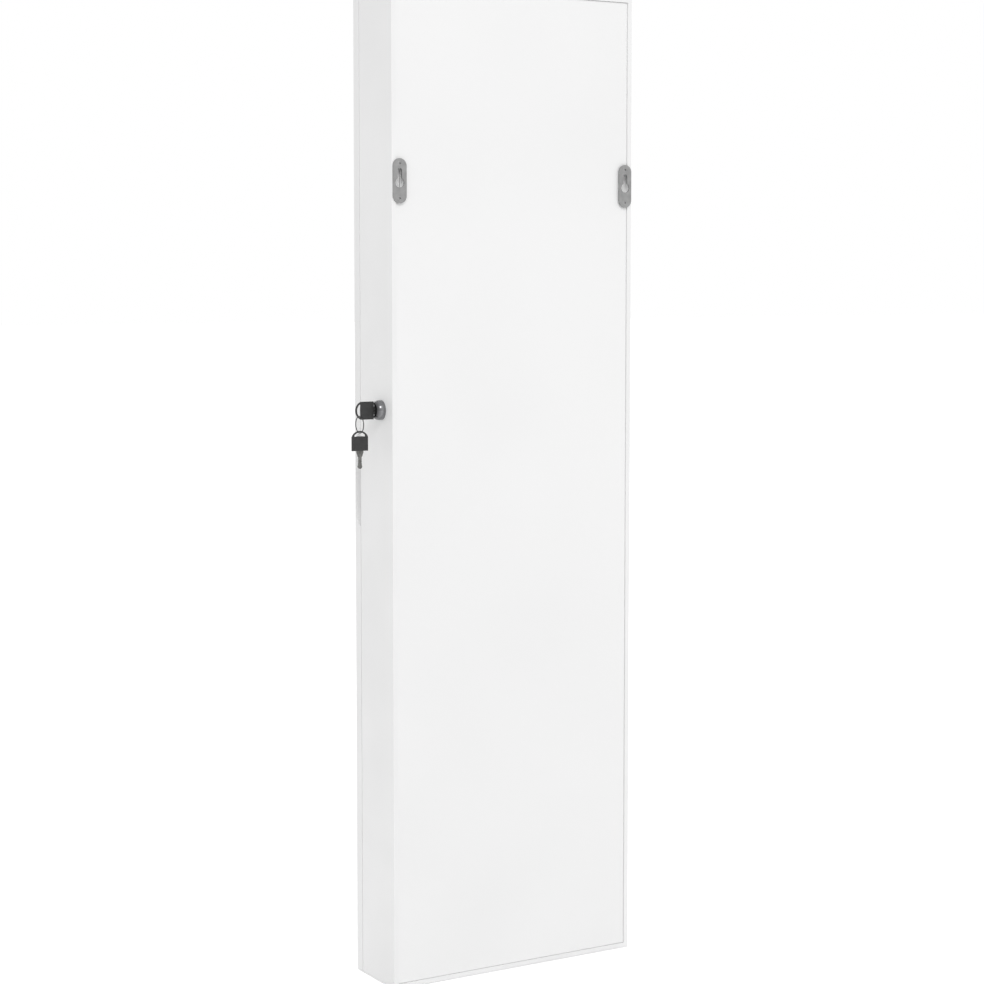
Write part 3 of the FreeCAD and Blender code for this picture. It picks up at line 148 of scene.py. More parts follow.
def two_tone(tree, size, dark, pale, stretch=(1, 1, 1), detail=2.0):
    """Blotches of two colours that run into each other."""
    blend = mottle(tree, size, 0.0, 1.0, stretch, detail)
    return add_node(tree, "ShaderNodeMix", {SHARE: blend, FROM: dark, TO: tuple(pale)},
                    data_type="RGBA").outputs[BLENDED]


def surface(tree, shader, colour=None, rough=None, height=None, depth=0.0, strength=1.0):
    """Give a shader its patterns. The relief is this deep, in metres, as the height goes from 0 to 1."""
    for name, source in (("Base Color", colour), ("Roughness", rough)):
        if source is not None:
            tree.links.new(source, shader.inputs[name])
    if height is not None:
        relief = add_node(tree, "ShaderNodeBump", {"Height": height, "Distance": depth,
                                                   "Strength": strength})
        tree.links.new(relief.outputs["Normal"], shader.inputs["Normal"])


# ---------------------------------------------------------------- finishes

def white_melamine(face):
    """Melamine-faced fibreboard, hot-pressed on a fine pearl plate: white, satin, faintly pebbled."""
    material, tree, shader = start_material("white melamine board", IOR=1.5)
    pearl = 1.1 * MM
    surface(tree, shader, two_tone(tree, 120 * MM, darkened(face, 0.97), face),
            mottle(tree, 35 * MM, 0.40, 0.50),
            mottle(tree, pearl, detail=1.0), 0.02 * MM, 0.35)
    return material


def white_hardboard(face):
    """Hardboard with a white paper foil: flatter than the boards, with the fibres just showing through."""
    material, tree, shader = start_material("white foil hardboard", IOR=1.5)
    fibre = 2.2 * MM
    surface(tree, shader, two_tone(tree, 200 * MM, darkened(face, 0.98), face, detail=1.0),
            mottle(tree, 50 * MM, 0.52, 0.60),
            mottle(tree, fibre, stretch=(1, 1, 0.35), detail=3.0), 0.02 * MM, 0.3)
    return material


def white_lacquer(face):
    """Sprayed lacquer on fibreboard: a smoother satin white with the spray's slight orange peel."""
    material, tree, shader = start_material("white lacquered frame", IOR=1.5, Coat_Weight=0.15,
                                            Coat_Roughness=0.25)
    peel = 2.5 * MM
    surface(tree, shader, two_tone(tree, 90 * MM, darkened(face, 0.97), face),
            mottle(tree, 30 * MM, 0.34, 0.42),
            mottle(tree, peel, detail=0.0), 0.03 * MM, 0.25)
    return material


def black_velvet(name, pile, bare_behind=False):
    """Cotton velvet: black, no gloss, a pale sheen at its edge and patches where the pile lies over."""
    material, tree, shader = start_material(name, Roughness=0.95, Sheen_Weight=0.8, Sheen_Roughness=0.35,
                                            Specular_IOR_Level=0.1, Sheen_Tint=linear("#8E8E90"))
    tuft = 0.9 * MM     # real pile is about 0.1 mm: too fine to show
    brushed = two_tone(tree, 42 * MM, darkened(pile, 0.55), pile, (1, 1, 0.5), 3.0)
    colour = add_node(tree, "ShaderNodeMix", {SHARE: mottle(tree, tuft, 0.0, 0.35), FROM: brushed,
                                              TO: linear("#363637")}, data_type="RGBA").outputs[BLENDED]
    if bare_behind:     # glued on the front of a white-primed board, whose own face shows behind
        normal = add_node(tree, "ShaderNodeTexCoord").outputs["Normal"]
        facing = add_node(tree, "ShaderNodeSeparateXYZ", {"Vector": normal}).outputs["Y"]
        bare = add_node(tree, "ShaderNodeMapRange", {"Value": facing, "From Min": BEHIND, "From Max": BESIDE})
        colour = add_node(tree, "ShaderNodeMix", {SHARE: bare.outputs["Result"], FROM: colour,
                                                  TO: linear("#F0F0F0")},
                          data_type="RGBA").outputs[BLENDED]
    surface(tree, shader, colour, None, mottle(tree, tuft), 0.25 * MM, 0.6)
    return material


def zinc_plate(metal):
    """Zinc-plated mild steel as stamped: a dull mid-grey metal with rolling marks along its length."""
    material, tree, shader = start_material("zinc-plated steel", Metallic=1.0)
    mark = 0.6 * MM     # real rolling marks are about 0.1 mm wide: too fine to show
    rolling = (1, 1, 0.05)
    surface(tree, shader, two_tone(tree, 7 * MM, darkened(metal, 0.85), metal),
            mottle(tree, mark, 0.42, 0.56, rolling),
            mottle(tree, mark, stretch=rolling), 0.01 * MM, 0.4)
    return material


def nickel_plate(metal):
    """Bright nickel on pressed steel: a warm pale metal, smooth, with faint press marks."""
    material, tree, shader = start_material("nickel-plated steel", Metallic=1.0)
    surface(tree, shader, two_tone(tree, 9 * MM, darkened(metal, 0.88), metal),
            mottle(tree, 5 * MM, 0.26, 0.33),
            mottle(tree, 3 * MM, detail=1.0), 0.01 * MM, 0.15)
    return material


def chrome(name, metal, share):
    """Decorative chrome over a turned or drawn part: dark, sharp, with fine polishing marks."""
    material, tree, shader = start_material(name, Metallic=1.0)
    polish = 0.7 * MM   # real polishing marks are under 0.1 mm wide: too fine to show
    surface(tree, shader, two_tone(tree, 6 * MM, darkened(metal, share), metal),
            mottle(tree, 1.5 * MM, 0.08, 0.16),
            mottle(tree, polish, stretch=(0.2, 1, 1)), 0.004 * MM, 0.4)
    return material


def lock_chrome(metal):
    """The lock's turned zinc head under chrome: turning rings, and a painted reflection that is dark by the
    core and paler at the rim.
    """
    material, tree, shader = start_material("chromed lock head", Metallic=1.0)
    low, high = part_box("lock_housing")
    middle = (low + high) / 2
    rim = (high.z - low.z) / 2
    spot = add_node(tree, "ShaderNodeTexCoord").outputs["Object"]
    from_axis = add_node(tree, "ShaderNodeVectorMath", {0: spot, 1: (0, middle.y, middle.z)},
                         operation="SUBTRACT").outputs["Vector"]
    across = add_node(tree, "ShaderNodeVectorMath", {0: from_axis, 1: (0, 1, 1)},
                      operation="MULTIPLY").outputs["Vector"]
    radius = add_node(tree, "ShaderNodeVectorMath", {0: across}, operation="LENGTH").outputs["Value"]
    # painted reflection: the base colour runs from a dark core out to the metal's own tone at the rim
    out = add_node(tree, "ShaderNodeMapRange", {"Value": radius, "From Min": rim * 0.5, "From Max": rim})
    painted_reflection = add_node(tree, "ShaderNodeMath", {0: out.outputs["Result"], 1: 2.4}, operation="POWER")
    colour = add_node(tree, "ShaderNodeMix", {SHARE: painted_reflection.outputs["Value"], FROM: darkened(metal, 0.13),
                                              TO: tuple(metal)}, data_type="RGBA").outputs[BLENDED]
    feed_per_turn = 0.45 * MM   # the real feed is about 0.1 mm: too fine to show
    turns = add_node(tree, "ShaderNodeMath", {0: radius, 1: 2 * math.pi / feed_per_turn},
                     operation="MULTIPLY").outputs["Value"]
    rings = add_node(tree, "ShaderNodeMath", {0: turns}, operation="SINE").outputs["Value"]
    rough = add_node(tree, "ShaderNodeMapRange", {"Value": rings, "From Min": -1.0, "To Min": 0.14,
                                                  "To Max": 0.2}).outputs["Result"]
    surface(tree, shader, colour, rough, rings, 0.004 * MM, 0.5)
    return material


def key_steel(metal):
    """Nickel silver strip, cut and tumbled: a grey metal with short scratches along the blade."""
    material, tree, shader = start_material("nickel silver key", Metallic=1.0)
    scratch = 0.5 * MM  # real scratches are about 0.1 mm wide: too fine to show
    along = {"stretch": (0.15, 1, 0.15), "detail": 3.0}
    surface(tree, shader, two_tone(tree, 3 * MM, darkened(metal, 0.6), metal),
            mottle(tree, scratch, 0.24, 0.44, **along),
            mottle(tree, scratch, **along), 0.01 * MM, 0.5)
    return material


def key_plastic(grip):
    """Moulded ABS with a spark-eroded face: near black, dull, finely grained."""
    material, tree, shader = start_material("black ABS key grip", IOR=1.53)
    grain = 0.35 * MM   # a real spark-eroded grain is about 0.1 mm: too fine to show
    surface(tree, shader, two_tone(tree, 5 * MM, darkened(grip, 0.75), grip),
            mottle(tree, grain, 0.5, 0.68),
            mottle(tree, grain), 0.03 * MM, 0.4)
    return material


def ring_wire(metal):
    """Hardened steel wire, drawn and dipped: dark grey, uneven where the dip ran."""
    material, tree, shader = start_material("drawn steel wire", Metallic=1.0)
    surface(tree, shader, two_tone(tree, 2 * MM, darkened(metal, 0.6), metal),
            mottle(tree, 0.4 * MM, 0.25, 0.4))
    return material


def silvered_glass(silver):
    """Float glass silvered on its back: sharp reflections under a clear front, cool at the edges."""
    material, tree, shader = start_material("silvered float glass", Metallic=1.0, Coat_Weight=1.0,
                                            Coat_Roughness=0.0, Coat_IOR=1.52)
    surface(tree, shader, two_tone(tree, 300 * MM, darkened(silver, 0.94), silver, detail=1.0),
            mottle(tree, 80 * MM, 0.005, 0.015))
    return material


def clear_acrylic():
    """Cast acrylic, laser cut: clear, with flame-bright edges and a trace of the sheet's waviness."""
    material, tree, shader = start_material("clear cast acrylic", IOR=1.49, Transmission_Weight=1.0,
                                            Base_Color=linear("#F4F8F8"))
    surface(tree, shader, None, mottle(tree, 15 * MM, 0.01, 0.04),
            mottle(tree, 25 * MM, detail=0.0), 0.05 * MM, 0.15)
    return material


def brass(metal):
    """Drawn brass wire, polished and lacquered: warm and smooth, with small dull patches."""
    material, tree, shader = start_material("lacquered brass wire", Metallic=1.0, Coat_Weight=0.4,
                                            Coat_Roughness=0.1)
    surface(tree, shader, two_tone(tree, 4 * MM, darkened(metal, 0.8), metal),
            mottle(tree, 0.8 * MM, 0.16, 0.28))
    return material


def moulded_plastic(name, colour, low_rough, high_rough, **constants):
    """Injection-moulded polymer: an even colour, slight sinks and a finely etched face."""
    material, tree, shader = start_material(name, IOR=1.5, **constants)
    etching = 0.5 * MM  # a real etched face's grain is under 0.1 mm: too fine to show
    surface(tree, shader, two_tone(tree, 8 * MM, darkened(colour, 0.94), colour),
            mottle(tree, 3 * MM, low_rough, high_rough),
            mottle(tree, etching), 0.01 * MM, 0.3)
    return material


def ferrite():
    """Sintered ferrite block: dark grey, dull, with open pores."""
    material, tree, shader = start_material("sintered ferrite", IOR=2.0)
    pore = 0.8 * MM
    surface(tree, shader, two_tone(tree, pore, linear("#2A2A2B"), linear("#3C3C3D"), detail=4.0),
            mottle(tree, pore, 0.55, 0.8, detail=4.0),
            mottle(tree, pore, detail=4.0), 0.05 * MM, 0.6)
    return material


def beech():
    """Turned beech dowel: pale wood with short dark flecks along its length."""
    material, tree, shader = start_material("turned beech", IOR=1.5, Roughness=0.6)
    fleck = 1.2 * MM
    along = {"stretch": (0.12, 1, 1), "detail": 4.0}
    surface(tree, shader, two_tone(tree, fleck, linear("#B98F62"), linear("#D8B68A"), **along), None,
            mottle(tree, fleck, **along), 0.05 * MM, 0.5)
    return material


def dress(material, *nodes):
    """Give CAD nodes one finish."""
    for name in nodes:
        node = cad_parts[name]
        node.data.materials.clear()
        node.data.materials.append(material)


def nodes_of(*starts):
    """Every CAD node whose name starts with one of these words."""
    return [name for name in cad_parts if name.startswith(starts)]


def smooth(node):
    """Round faces shaded smooth, flat ones left flat, without moving a point."""
    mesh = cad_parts[node].data
    mesh.shade_smooth()
    mesh.set_sharp_from_angle(angle=SHARP_EDGE)


# ---------------------------------------------------------------- new pieces

def new_piece(name, mesh, material, body, replaced=()):
    """Put a mesh in the scene as a piece that rides on a body."""
    piece = bpy.data.objects.new(name, mesh)
    bpy.context.scene.collection.objects.link(piece)
    mesh.materials.append(material)
    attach(piece, body)
    if replaced:
        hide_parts(*replaced)
    return piece


def islands(node):
    """The lowest and highest corner of each separate solid in a CAD node."""
    cad = bmesh.new()
    cad.from_mesh(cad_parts[node].data)
    bmesh.ops.remove_doubles(cad, verts=cad.verts, dist=0.001 * MM)
    left = set(cad.verts)
    found = []
    while left:
        seed = left.pop()
        group = [seed]
        waiting = [seed]
        while waiting:
            for edge in waiting.pop().link_edges:
                for vert in edge.verts:
                    if vert in left:
                        left.discard(vert)
                        group.append(vert)
                        waiting.append(vert)
        low = Vector(min(v.co[axis] for v in group) for axis in range(3))
        high = Vector(max(v.co[axis] for v in group) for axis in range(3))
        found.append((low, high))
    cad.free()
    return sorted(found, key=lambda pair: tuple(round(c, 5) for c in pair[0]))


def turned(profile, segments):
    """A bmesh turned about +Z from (radius, height) points, closed on the axis."""
    mesh = bmesh.new()
    rings = []
    for radius, height in profile:
        if radius < 1e-7:
            rings.append([mesh.verts.new((0, 0, height))])
        else:
            rings.append([mesh.verts.new((radius * math.cos(2 * math.pi * k / segments),
                                          radius * math.sin(2 * math.pi * k / segments), height))
                          for k in range(segments)])
    for lower, upper in zip(rings, rings[1:]):
        for k in range(segments):
            nearby = (k + 1) % segments
            corners = [lower[k % len(lower)], lower[nearby % len(lower)],
                       upper[nearby % len(upper)], upper[k % len(upper)]]
            unique = list(dict.fromkeys(corners))
            if len(unique) > 2:
                mesh.faces.new(unique)
    bmesh.ops.recalc_face_normals(mesh, faces=mesh.faces)
    return mesh


def cross_cutter(reach, width, depth):
    """The cross that a screwdriver fits, narrower at its foot: two arms, each a closed mesh."""
    cutter = bmesh.new()
    for along, across in ((reach, width), (width, reach)):
        top = [cutter.verts.new((x * along, y * across, depth)) for x, y in SQUARE]
        foot = [cutter.verts.new((x * along * 0.45, y * across * 0.8, -depth)) for x, y in SQUARE]
        cutter.faces.new(top)
        cutter.faces.new(foot[::-1])
        for k in range(4):
            cutter.faces.new((foot[k], foot[(k + 1) % 4], top[(k + 1) % 4], top[k]))
    bmesh.ops.recalc_face_normals(cutter, faces=cutter.faces)
    return cutter


def screw_mesh(name, head, length, crown):
    """A screw pointing down -Z, with a cross recess and a thread that runs to its tip.

    A head with a crown is domed over the face, and one without is countersunk.
    """
    shank = head * SHANK
    rim = head * HEAD_RIM
    if crown:
        top = [(0.0, crown), (head * 0.55, crown * 0.92), (head * 0.88, crown * 0.6), (head, 0.0)]
        under = [(shank, 0.0)]
    else:
        top = [(0.0, 0.0), (head - rim, 0.0), (head, -rim * 0.5)]
        under = [(shank, -(head - shank) - rim * 0.2)]
    start = -under[0][1] + shank
    turns = max(int((length - start) / (shank * THREAD_PITCH)), 3)
    pitch = (length - start) / turns
    root = shank * THREAD_ROOT
    thread = []
    for step in range(turns):
        height = -start - (length - start) * step / turns
        thread += [(root, height), (shank, height - pitch * 0.35), (root, height - pitch * 0.7)]
    blank = turned(top + under + thread + [(0.0, -length)], SCREW_SIDES)
    mesh = bpy.data.meshes.new(name)
    blank.to_mesh(mesh)
    blank.free()
    cutter_mesh = bpy.data.meshes.new(name + "_recess")
    cutter = cross_cutter(head * CROSS_REACH, head * CROSS_WIDTH, head * CROSS_DEPTH)
    bmesh.ops.translate(cutter, verts=cutter.verts, vec=(0, 0, crown * 0.9))
    cutter.to_mesh(cutter_mesh)
    cutter.free()
    screw = bpy.data.objects.new(name, mesh)
    tool = bpy.data.objects.new(name + "_recess", cutter_mesh)
    for item in (screw, tool):
        bpy.context.scene.collection.objects.link(item)
    recess = screw.modifiers.new("Recess", "BOOLEAN")
    recess.operation = "DIFFERENCE"
    recess.solver = "EXACT"
    recess.use_self = True
    recess.object = tool
    bpy.context.view_layer.update()
    result = bpy.data.meshes.new_from_object(screw.evaluated_get(bpy.context.evaluated_depsgraph_get()))
    for item in (screw, tool):
        bpy.data.objects.remove(item)
    return result


def screws(node, toward, body, material, crown_share=0.0):
    """Replace a CAD node of plain screws by threaded ones with a recess. Their heads face toward."""
    direction = Vector(toward)
    axis = max(range(3), key=lambda k: abs(direction[k]))
    turn = Vector((0, 0, 1)).rotation_difference(direction).to_matrix().to_4x4()
    joined = bmesh.new()
    source = None
    dice = random.Random(len(node))
    for low, high in islands(node):
        middle = (low + high) / 2
        length = high[axis] - low[axis]
        head = max(high[k] - low[k] for k in range(3) if k != axis) / 2
        crown = length * crown_share
        if source is None:
            source = screw_mesh(node + "_one", head, length - crown, crown)
        seat = middle.copy()
        seat[axis] = (high if direction[axis] > 0 else low)[axis] - crown * direction[axis]
        spin = Matrix.Rotation(dice.uniform(0, math.pi / 2), 4, "Z")
        copy = source.copy()
        copy.transform(Matrix.Translation(seat) @ turn @ spin)
        joined.from_mesh(copy)
        bpy.data.meshes.remove(copy)
    mesh = bpy.data.meshes.new(node + "_heads")
    joined.to_mesh(mesh)
    joined.free()
    mesh.shade_smooth()
    mesh.set_sharp_from_angle(angle=SCREW_SHARP_EDGE)
    return new_piece("crossed_" + node, mesh, material, body, (node,))


def soft_roll(length, radius, crush, seed):
    """One velvet roll along X: foam pressed flat by its neighbours, creased ends drawn in to a dimple."""
    settings = bpy.context.scene.cabinet_soft
    around = settings.roll_sides
    along = settings.roll_steps
    roll = bmesh.new()
    rings = []
    end = radius * ROLL_SHOULDER
    for step in range(along + 1):
        x = length * step / along
        margin = min(x, length - x)
        shoulder = min(margin / end, 1.0)
        pulled = math.sqrt(max(1 - (1 - shoulder) ** 2, 0.0)) * (1 - ROLL_END) + ROLL_END
        ring = []
        for k in range(around):
            angle = 2 * math.pi * k / around
            side, up = math.cos(angle), math.sin(angle)
            flat = 1 - crush * abs(up) ** 4
            fold = 0.5 + 0.5 * math.cos(angle * ROLL_GATHERS + seed)
            gather = 1 - settings.crease * (1 - shoulder) * fold
            spot = Vector((x * WANDER_ALONG, side * WANDER_ROUND + seed, up * WANDER_ROUND))
            wave = noise.noise(spot) * settings.sag
            reach = (radius + wave) * pulled * gather
            ring.append(roll.verts.new((x, side * reach, up * reach * flat)))
        rings.append(ring)
    for one, two in zip(rings, rings[1:]):
        for k in range(around):
            nearby = (k + 1) % around
            roll.faces.new((one[k], two[k], two[nearby], one[nearby]))
    dimple = radius * ROLL_DIMPLE
    for ring, x in ((rings[0], dimple), (rings[-1], length - dimple)):
        hub = roll.verts.new((x, 0, 0))
        for k in range(around):
            roll.faces.new((ring[k], ring[(k + 1) % around], hub))
    bmesh.ops.recalc_face_normals(roll, faces=roll.faces)
    return roll


# ---------------------------------------------------------------- settings

def colour_setting(name, description, code):
    """A colour that the sidebar shows, from its sRGB hex value."""
    return FloatVectorProperty(name=name, description=description, subtype="COLOR", size=4, min=0, max=1,
                               default=linear(code))


class CabinetColours(bpy.types.PropertyGroup):
    """Colours of the cabinet's finishes"""
    board: colour_setting("Boards", "Melamine face of the case and shelves", "#F7F7F7")
    back: colour_setting("Back", "Foil on the back panel", "#F8F8F8")
    door: colour_setting("Door frame", "Lacquer on the door's stiles and rails", "#F3F3F3")
    mirror: colour_setting("Mirror", "What the silvered glass reflects of white light", "#DAE1DE")
    velvet: colour_setting("Velvet", "Pile on the lining, door and tray", "#1F1F20")
    rolls: colour_setting("Ring rolls", "Pile on the ring rolls", "#2C2C2D")
    hangers: colour_setting("Hangers", "Zinc on the hanger plates", "#A1A1A1")
    hinges: colour_setting("Hinges", "Nickel on the hinges and catches", "#B3B1AD")
    bars: colour_setting("Bars", "Chrome on the rails and the bracelet bar", "#B6B6B8")
    hooks: colour_setting("Hooks", "Brass of the necklace hooks", "#D8B775")
    lock: colour_setting("Lock", "Chrome on the lock", "#8A8A8C")
    grips: colour_setting("Key grips", "Moulded grips of the keys", "#2D2D2D")
    blades: colour_setting("Key blades", "Metal of the blades", "#767674")
    ring: colour_setting("Key ring", "Wire of the ring", "#525252")


class CabinetSoft(bpy.types.PropertyGroup):
    """Sizes of the velvet ring rolls"""
    roll_sides: IntProperty(name="Sides", description="Faces round one roll", default=56, min=16)
    roll_steps: IntProperty(name="Steps", description="Faces along one roll", default=120, min=20)
    crush: FloatProperty(name="Crush", description="How flat a roll is where the next one presses on it",
                         default=0.05, min=0, max=0.3, subtype="FACTOR")
    crease: FloatProperty(name="Crease", description="Depth of the gathers at a roll's ends",
                          default=0.12, min=0, max=0.5, subtype="FACTOR")
    sag: FloatProperty(name="Unevenness", description="How far the foam wanders from a true roll",
                       default=0.35 * MM, unit="LENGTH")


class CabinetStudio(bpy.types.PropertyGroup):
    """The camera, the lamps and the floor"""
    eye: FloatVectorProperty(name="Eye", description="Where the camera stands",
                             default=(1.26, 2.0455, -0.0952), subtype="TRANSLATION", unit="LENGTH")
    yaw: FloatProperty(name="Yaw", description="Turn of the view from straight behind",
                       default=math.radians(31.02), subtype="ANGLE")
    pitch: FloatProperty(name="Pitch", description="How far the view looks down",
                         default=math.radians(4.3), subtype="ANGLE")
    lens: FloatProperty(name="Lens", description="Focal length on a 36 mm sensor, in millimetres",
                        default=81.8, unit="CAMERA")
    rise: FloatProperty(name="Shift", description="Vertical shift of the lens", default=-0.05)
    sky: FloatProperty(name="Sky", description="Strength of the even light from all round", default=0.785)
    key_power: FloatProperty(name="Key", description="Power of the large lamp behind the cabinet",
                             default=97.0, unit="POWER")
    front_power: FloatProperty(name="Front", description="Power of the large lamp before the mirror",
                               default=24.0, unit="POWER")
    floor_size: FloatProperty(name="Floor", description="Side of the floor", default=60.0, unit="LENGTH")


# ---------------------------------------------------------------- operators

class CABINET_OT_boards(bpy.types.Operator):
    """Case, shelves, back and door frame in their white finishes"""
    bl_idname = "cabinet.boards"
    bl_label = "White Boards"

    def execute(self, context):
        colours = context.scene.cabinet_colours
        boards = nodes_of("case_", "shelf_lower", "shelf_middle", "shelf_upper")
        dress(white_melamine(colours.board), *boards, "hook_rail")
        dress(white_hardboard(colours.back), "back_panel")
        dress(white_lacquer(colours.door), *nodes_of("door_stile", "door_rail"), "door_beads")
        dress(beech(), "corner_dowels", "door_dowels")
        return {"FINISHED"}


class CABINET_OT_mirror(bpy.types.Operator):
    """The door's silvered glass"""
    bl_idname = "cabinet.mirror"
    bl_label = "Mirror"

    def execute(self, context):
        dress(silvered_glass(context.scene.cabinet_colours.mirror), "mirror")
        return {"FINISHED"}


class CABINET_OT_velvet(bpy.types.Operator):
    """Velvet on the lining, the door's backing and the ring tray"""
    bl_idname = "cabinet.velvet"
    bl_label = "Velvet Boards"

    def execute(self, context):
        velvet = context.scene.cabinet_colours.velvet
        dress(black_velvet("black velvet on white board", velvet, True), "back_lining")
        dress(black_velvet("black velvet on board", velvet), "door_backing", "ring_tray")
        return {"FINISHED"}


class CABINET_OT_ring_rolls(bpy.types.Operator):
    """Soft velvet rolls that hold rings, in place of the plain ones"""
    bl_idname = "cabinet.ring_rolls"
    bl_label = "Ring Rolls"

    def execute(self, context):
        settings = context.scene.cabinet_soft
        joined = bmesh.new()
        for number, (low, high) in enumerate(islands("ring_rolls")):
            radius = (high.z - low.z) / 2
            roll = soft_roll(high.x - low.x, radius, settings.crush, number * ROLL_SEED_STEP)
            bmesh.ops.translate(roll, verts=roll.verts, vec=(low.x, (low.y + high.y) / 2, low.z + radius))
            holder = bpy.data.meshes.new("roll")
            roll.to_mesh(holder)
            roll.free()
            joined.from_mesh(holder)
            bpy.data.meshes.remove(holder)
        mesh = bpy.data.meshes.new("velvet_ring_rolls")
        joined.to_mesh(mesh)
        joined.free()
        mesh.shade_smooth()
        velvet = black_velvet("black velvet over foam", context.scene.cabinet_colours.rolls)
        piece = new_piece("velvet_ring_rolls", mesh, velvet, "case", ("ring_rolls",))
        return {"FINISHED"}


class CABINET_OT_fittings(bpy.types.Operator):
    """Rails, bar, hooks, earring plate, catch and bumpers"""
    bl_idname = "cabinet.fittings"
    bl_label = "Inside Fittings"

    def execute(self, context):
        colours = context.scene.cabinet_colours
        bars = nodes_of("shelf_rail_") + ["bracelet_bar", "bracelet_sockets"]
        dress(chrome("chromed steel bar", colours.bars, 0.84), *bars)
        dress(brass(colours.hooks), "necklace_hooks")
        dress(clear_acrylic(), "earring_plate", "earring_stands")
        dress(moulded_plastic("white ABS catch", linear("#ECECE8"), 0.3, 0.42), "catch_housing")
        dress(ferrite(), "catch_magnet")
        dress(moulded_plastic("silicone bumper", linear("#EAECEC"), 0.25, 0.4,
                              Transmission_Weight=0.35, Subsurface_Weight=0.2), "door_bumpers")
        for name in bars + ["necklace_hooks", "earring_plate", "earring_stands", "door_bumpers"]:
            smooth(name)
        return {"FINISHED"}


class CABINET_OT_metalwork(bpy.types.Operator):
    """Hanger plates, hinges, catch plate, strike, and the crossed screws in them"""
    bl_idname = "cabinet.metalwork"
    bl_label = "Plates and Hinges"

    def execute(self, context):
        zinc = zinc_plate(context.scene.cabinet_colours.hangers)
        nickel = nickel_plate(context.scene.cabinet_colours.hinges)
        dress(zinc, "hanger_plate_left", "hanger_plate_right")
        plated = [name for name in nodes_of("hinge_") if "screws" not in name]
        dress(nickel, *plated, "catch_plate", "lock_strike")
        for name in plated + ["hanger_plate_left", "hanger_plate_right", "lock_strike"]:
            smooth(name)
        screws("hanger_screws", (0, 1, 0), "case", zinc)
        screws("hinge_case_screws", (0, -1, 0), "case", nickel)
        screws("hinge_door_screws", (0, 1, 0), "door", nickel)
        screws("strike_screws", (0, 1, 0), "door", nickel)
        return {"FINISHED"}


class CABINET_OT_lock(bpy.types.Operator):
    """The chromed cam lock with its nut, cam and cam screw"""
    bl_idname = "cabinet.lock"
    bl_label = "Lock"

    def execute(self, context):
        nickel = bpy.data.materials["nickel-plated steel"]
        metal = context.scene.cabinet_colours.lock
        dress(lock_chrome(metal), "lock_housing")
        dress(chrome("chromed lock core", metal, 0.72), "lock_plug")
        dress(nickel, "lock_nut", "lock_cam")
        for name in ("lock_housing", "lock_plug", "lock_nut", "lock_cam"):
            smooth(name)
        screws("cam_screw", (-1, 0, 0), "lock_core", nickel, 0.2)
        return {"FINISHED"}


class CABINET_OT_keys(bpy.types.Operator):
    """Both keys and the wire ring"""
    bl_idname = "cabinet.keys"
    bl_label = "Keys"

    def execute(self, context):
        colours = context.scene.cabinet_colours
        dress(key_plastic(colours.grips), "key_bow", "spare_key_bow")
        dress(key_steel(colours.blades), "key_blade", "spare_key_blade")
        dress(ring_wire(colours.ring), "key_ring")
        for name in ("key_bow", "spare_key_bow", "key_blade", "spare_key_blade", "key_ring"):
            smooth(name)
        return {"FINISHED"}


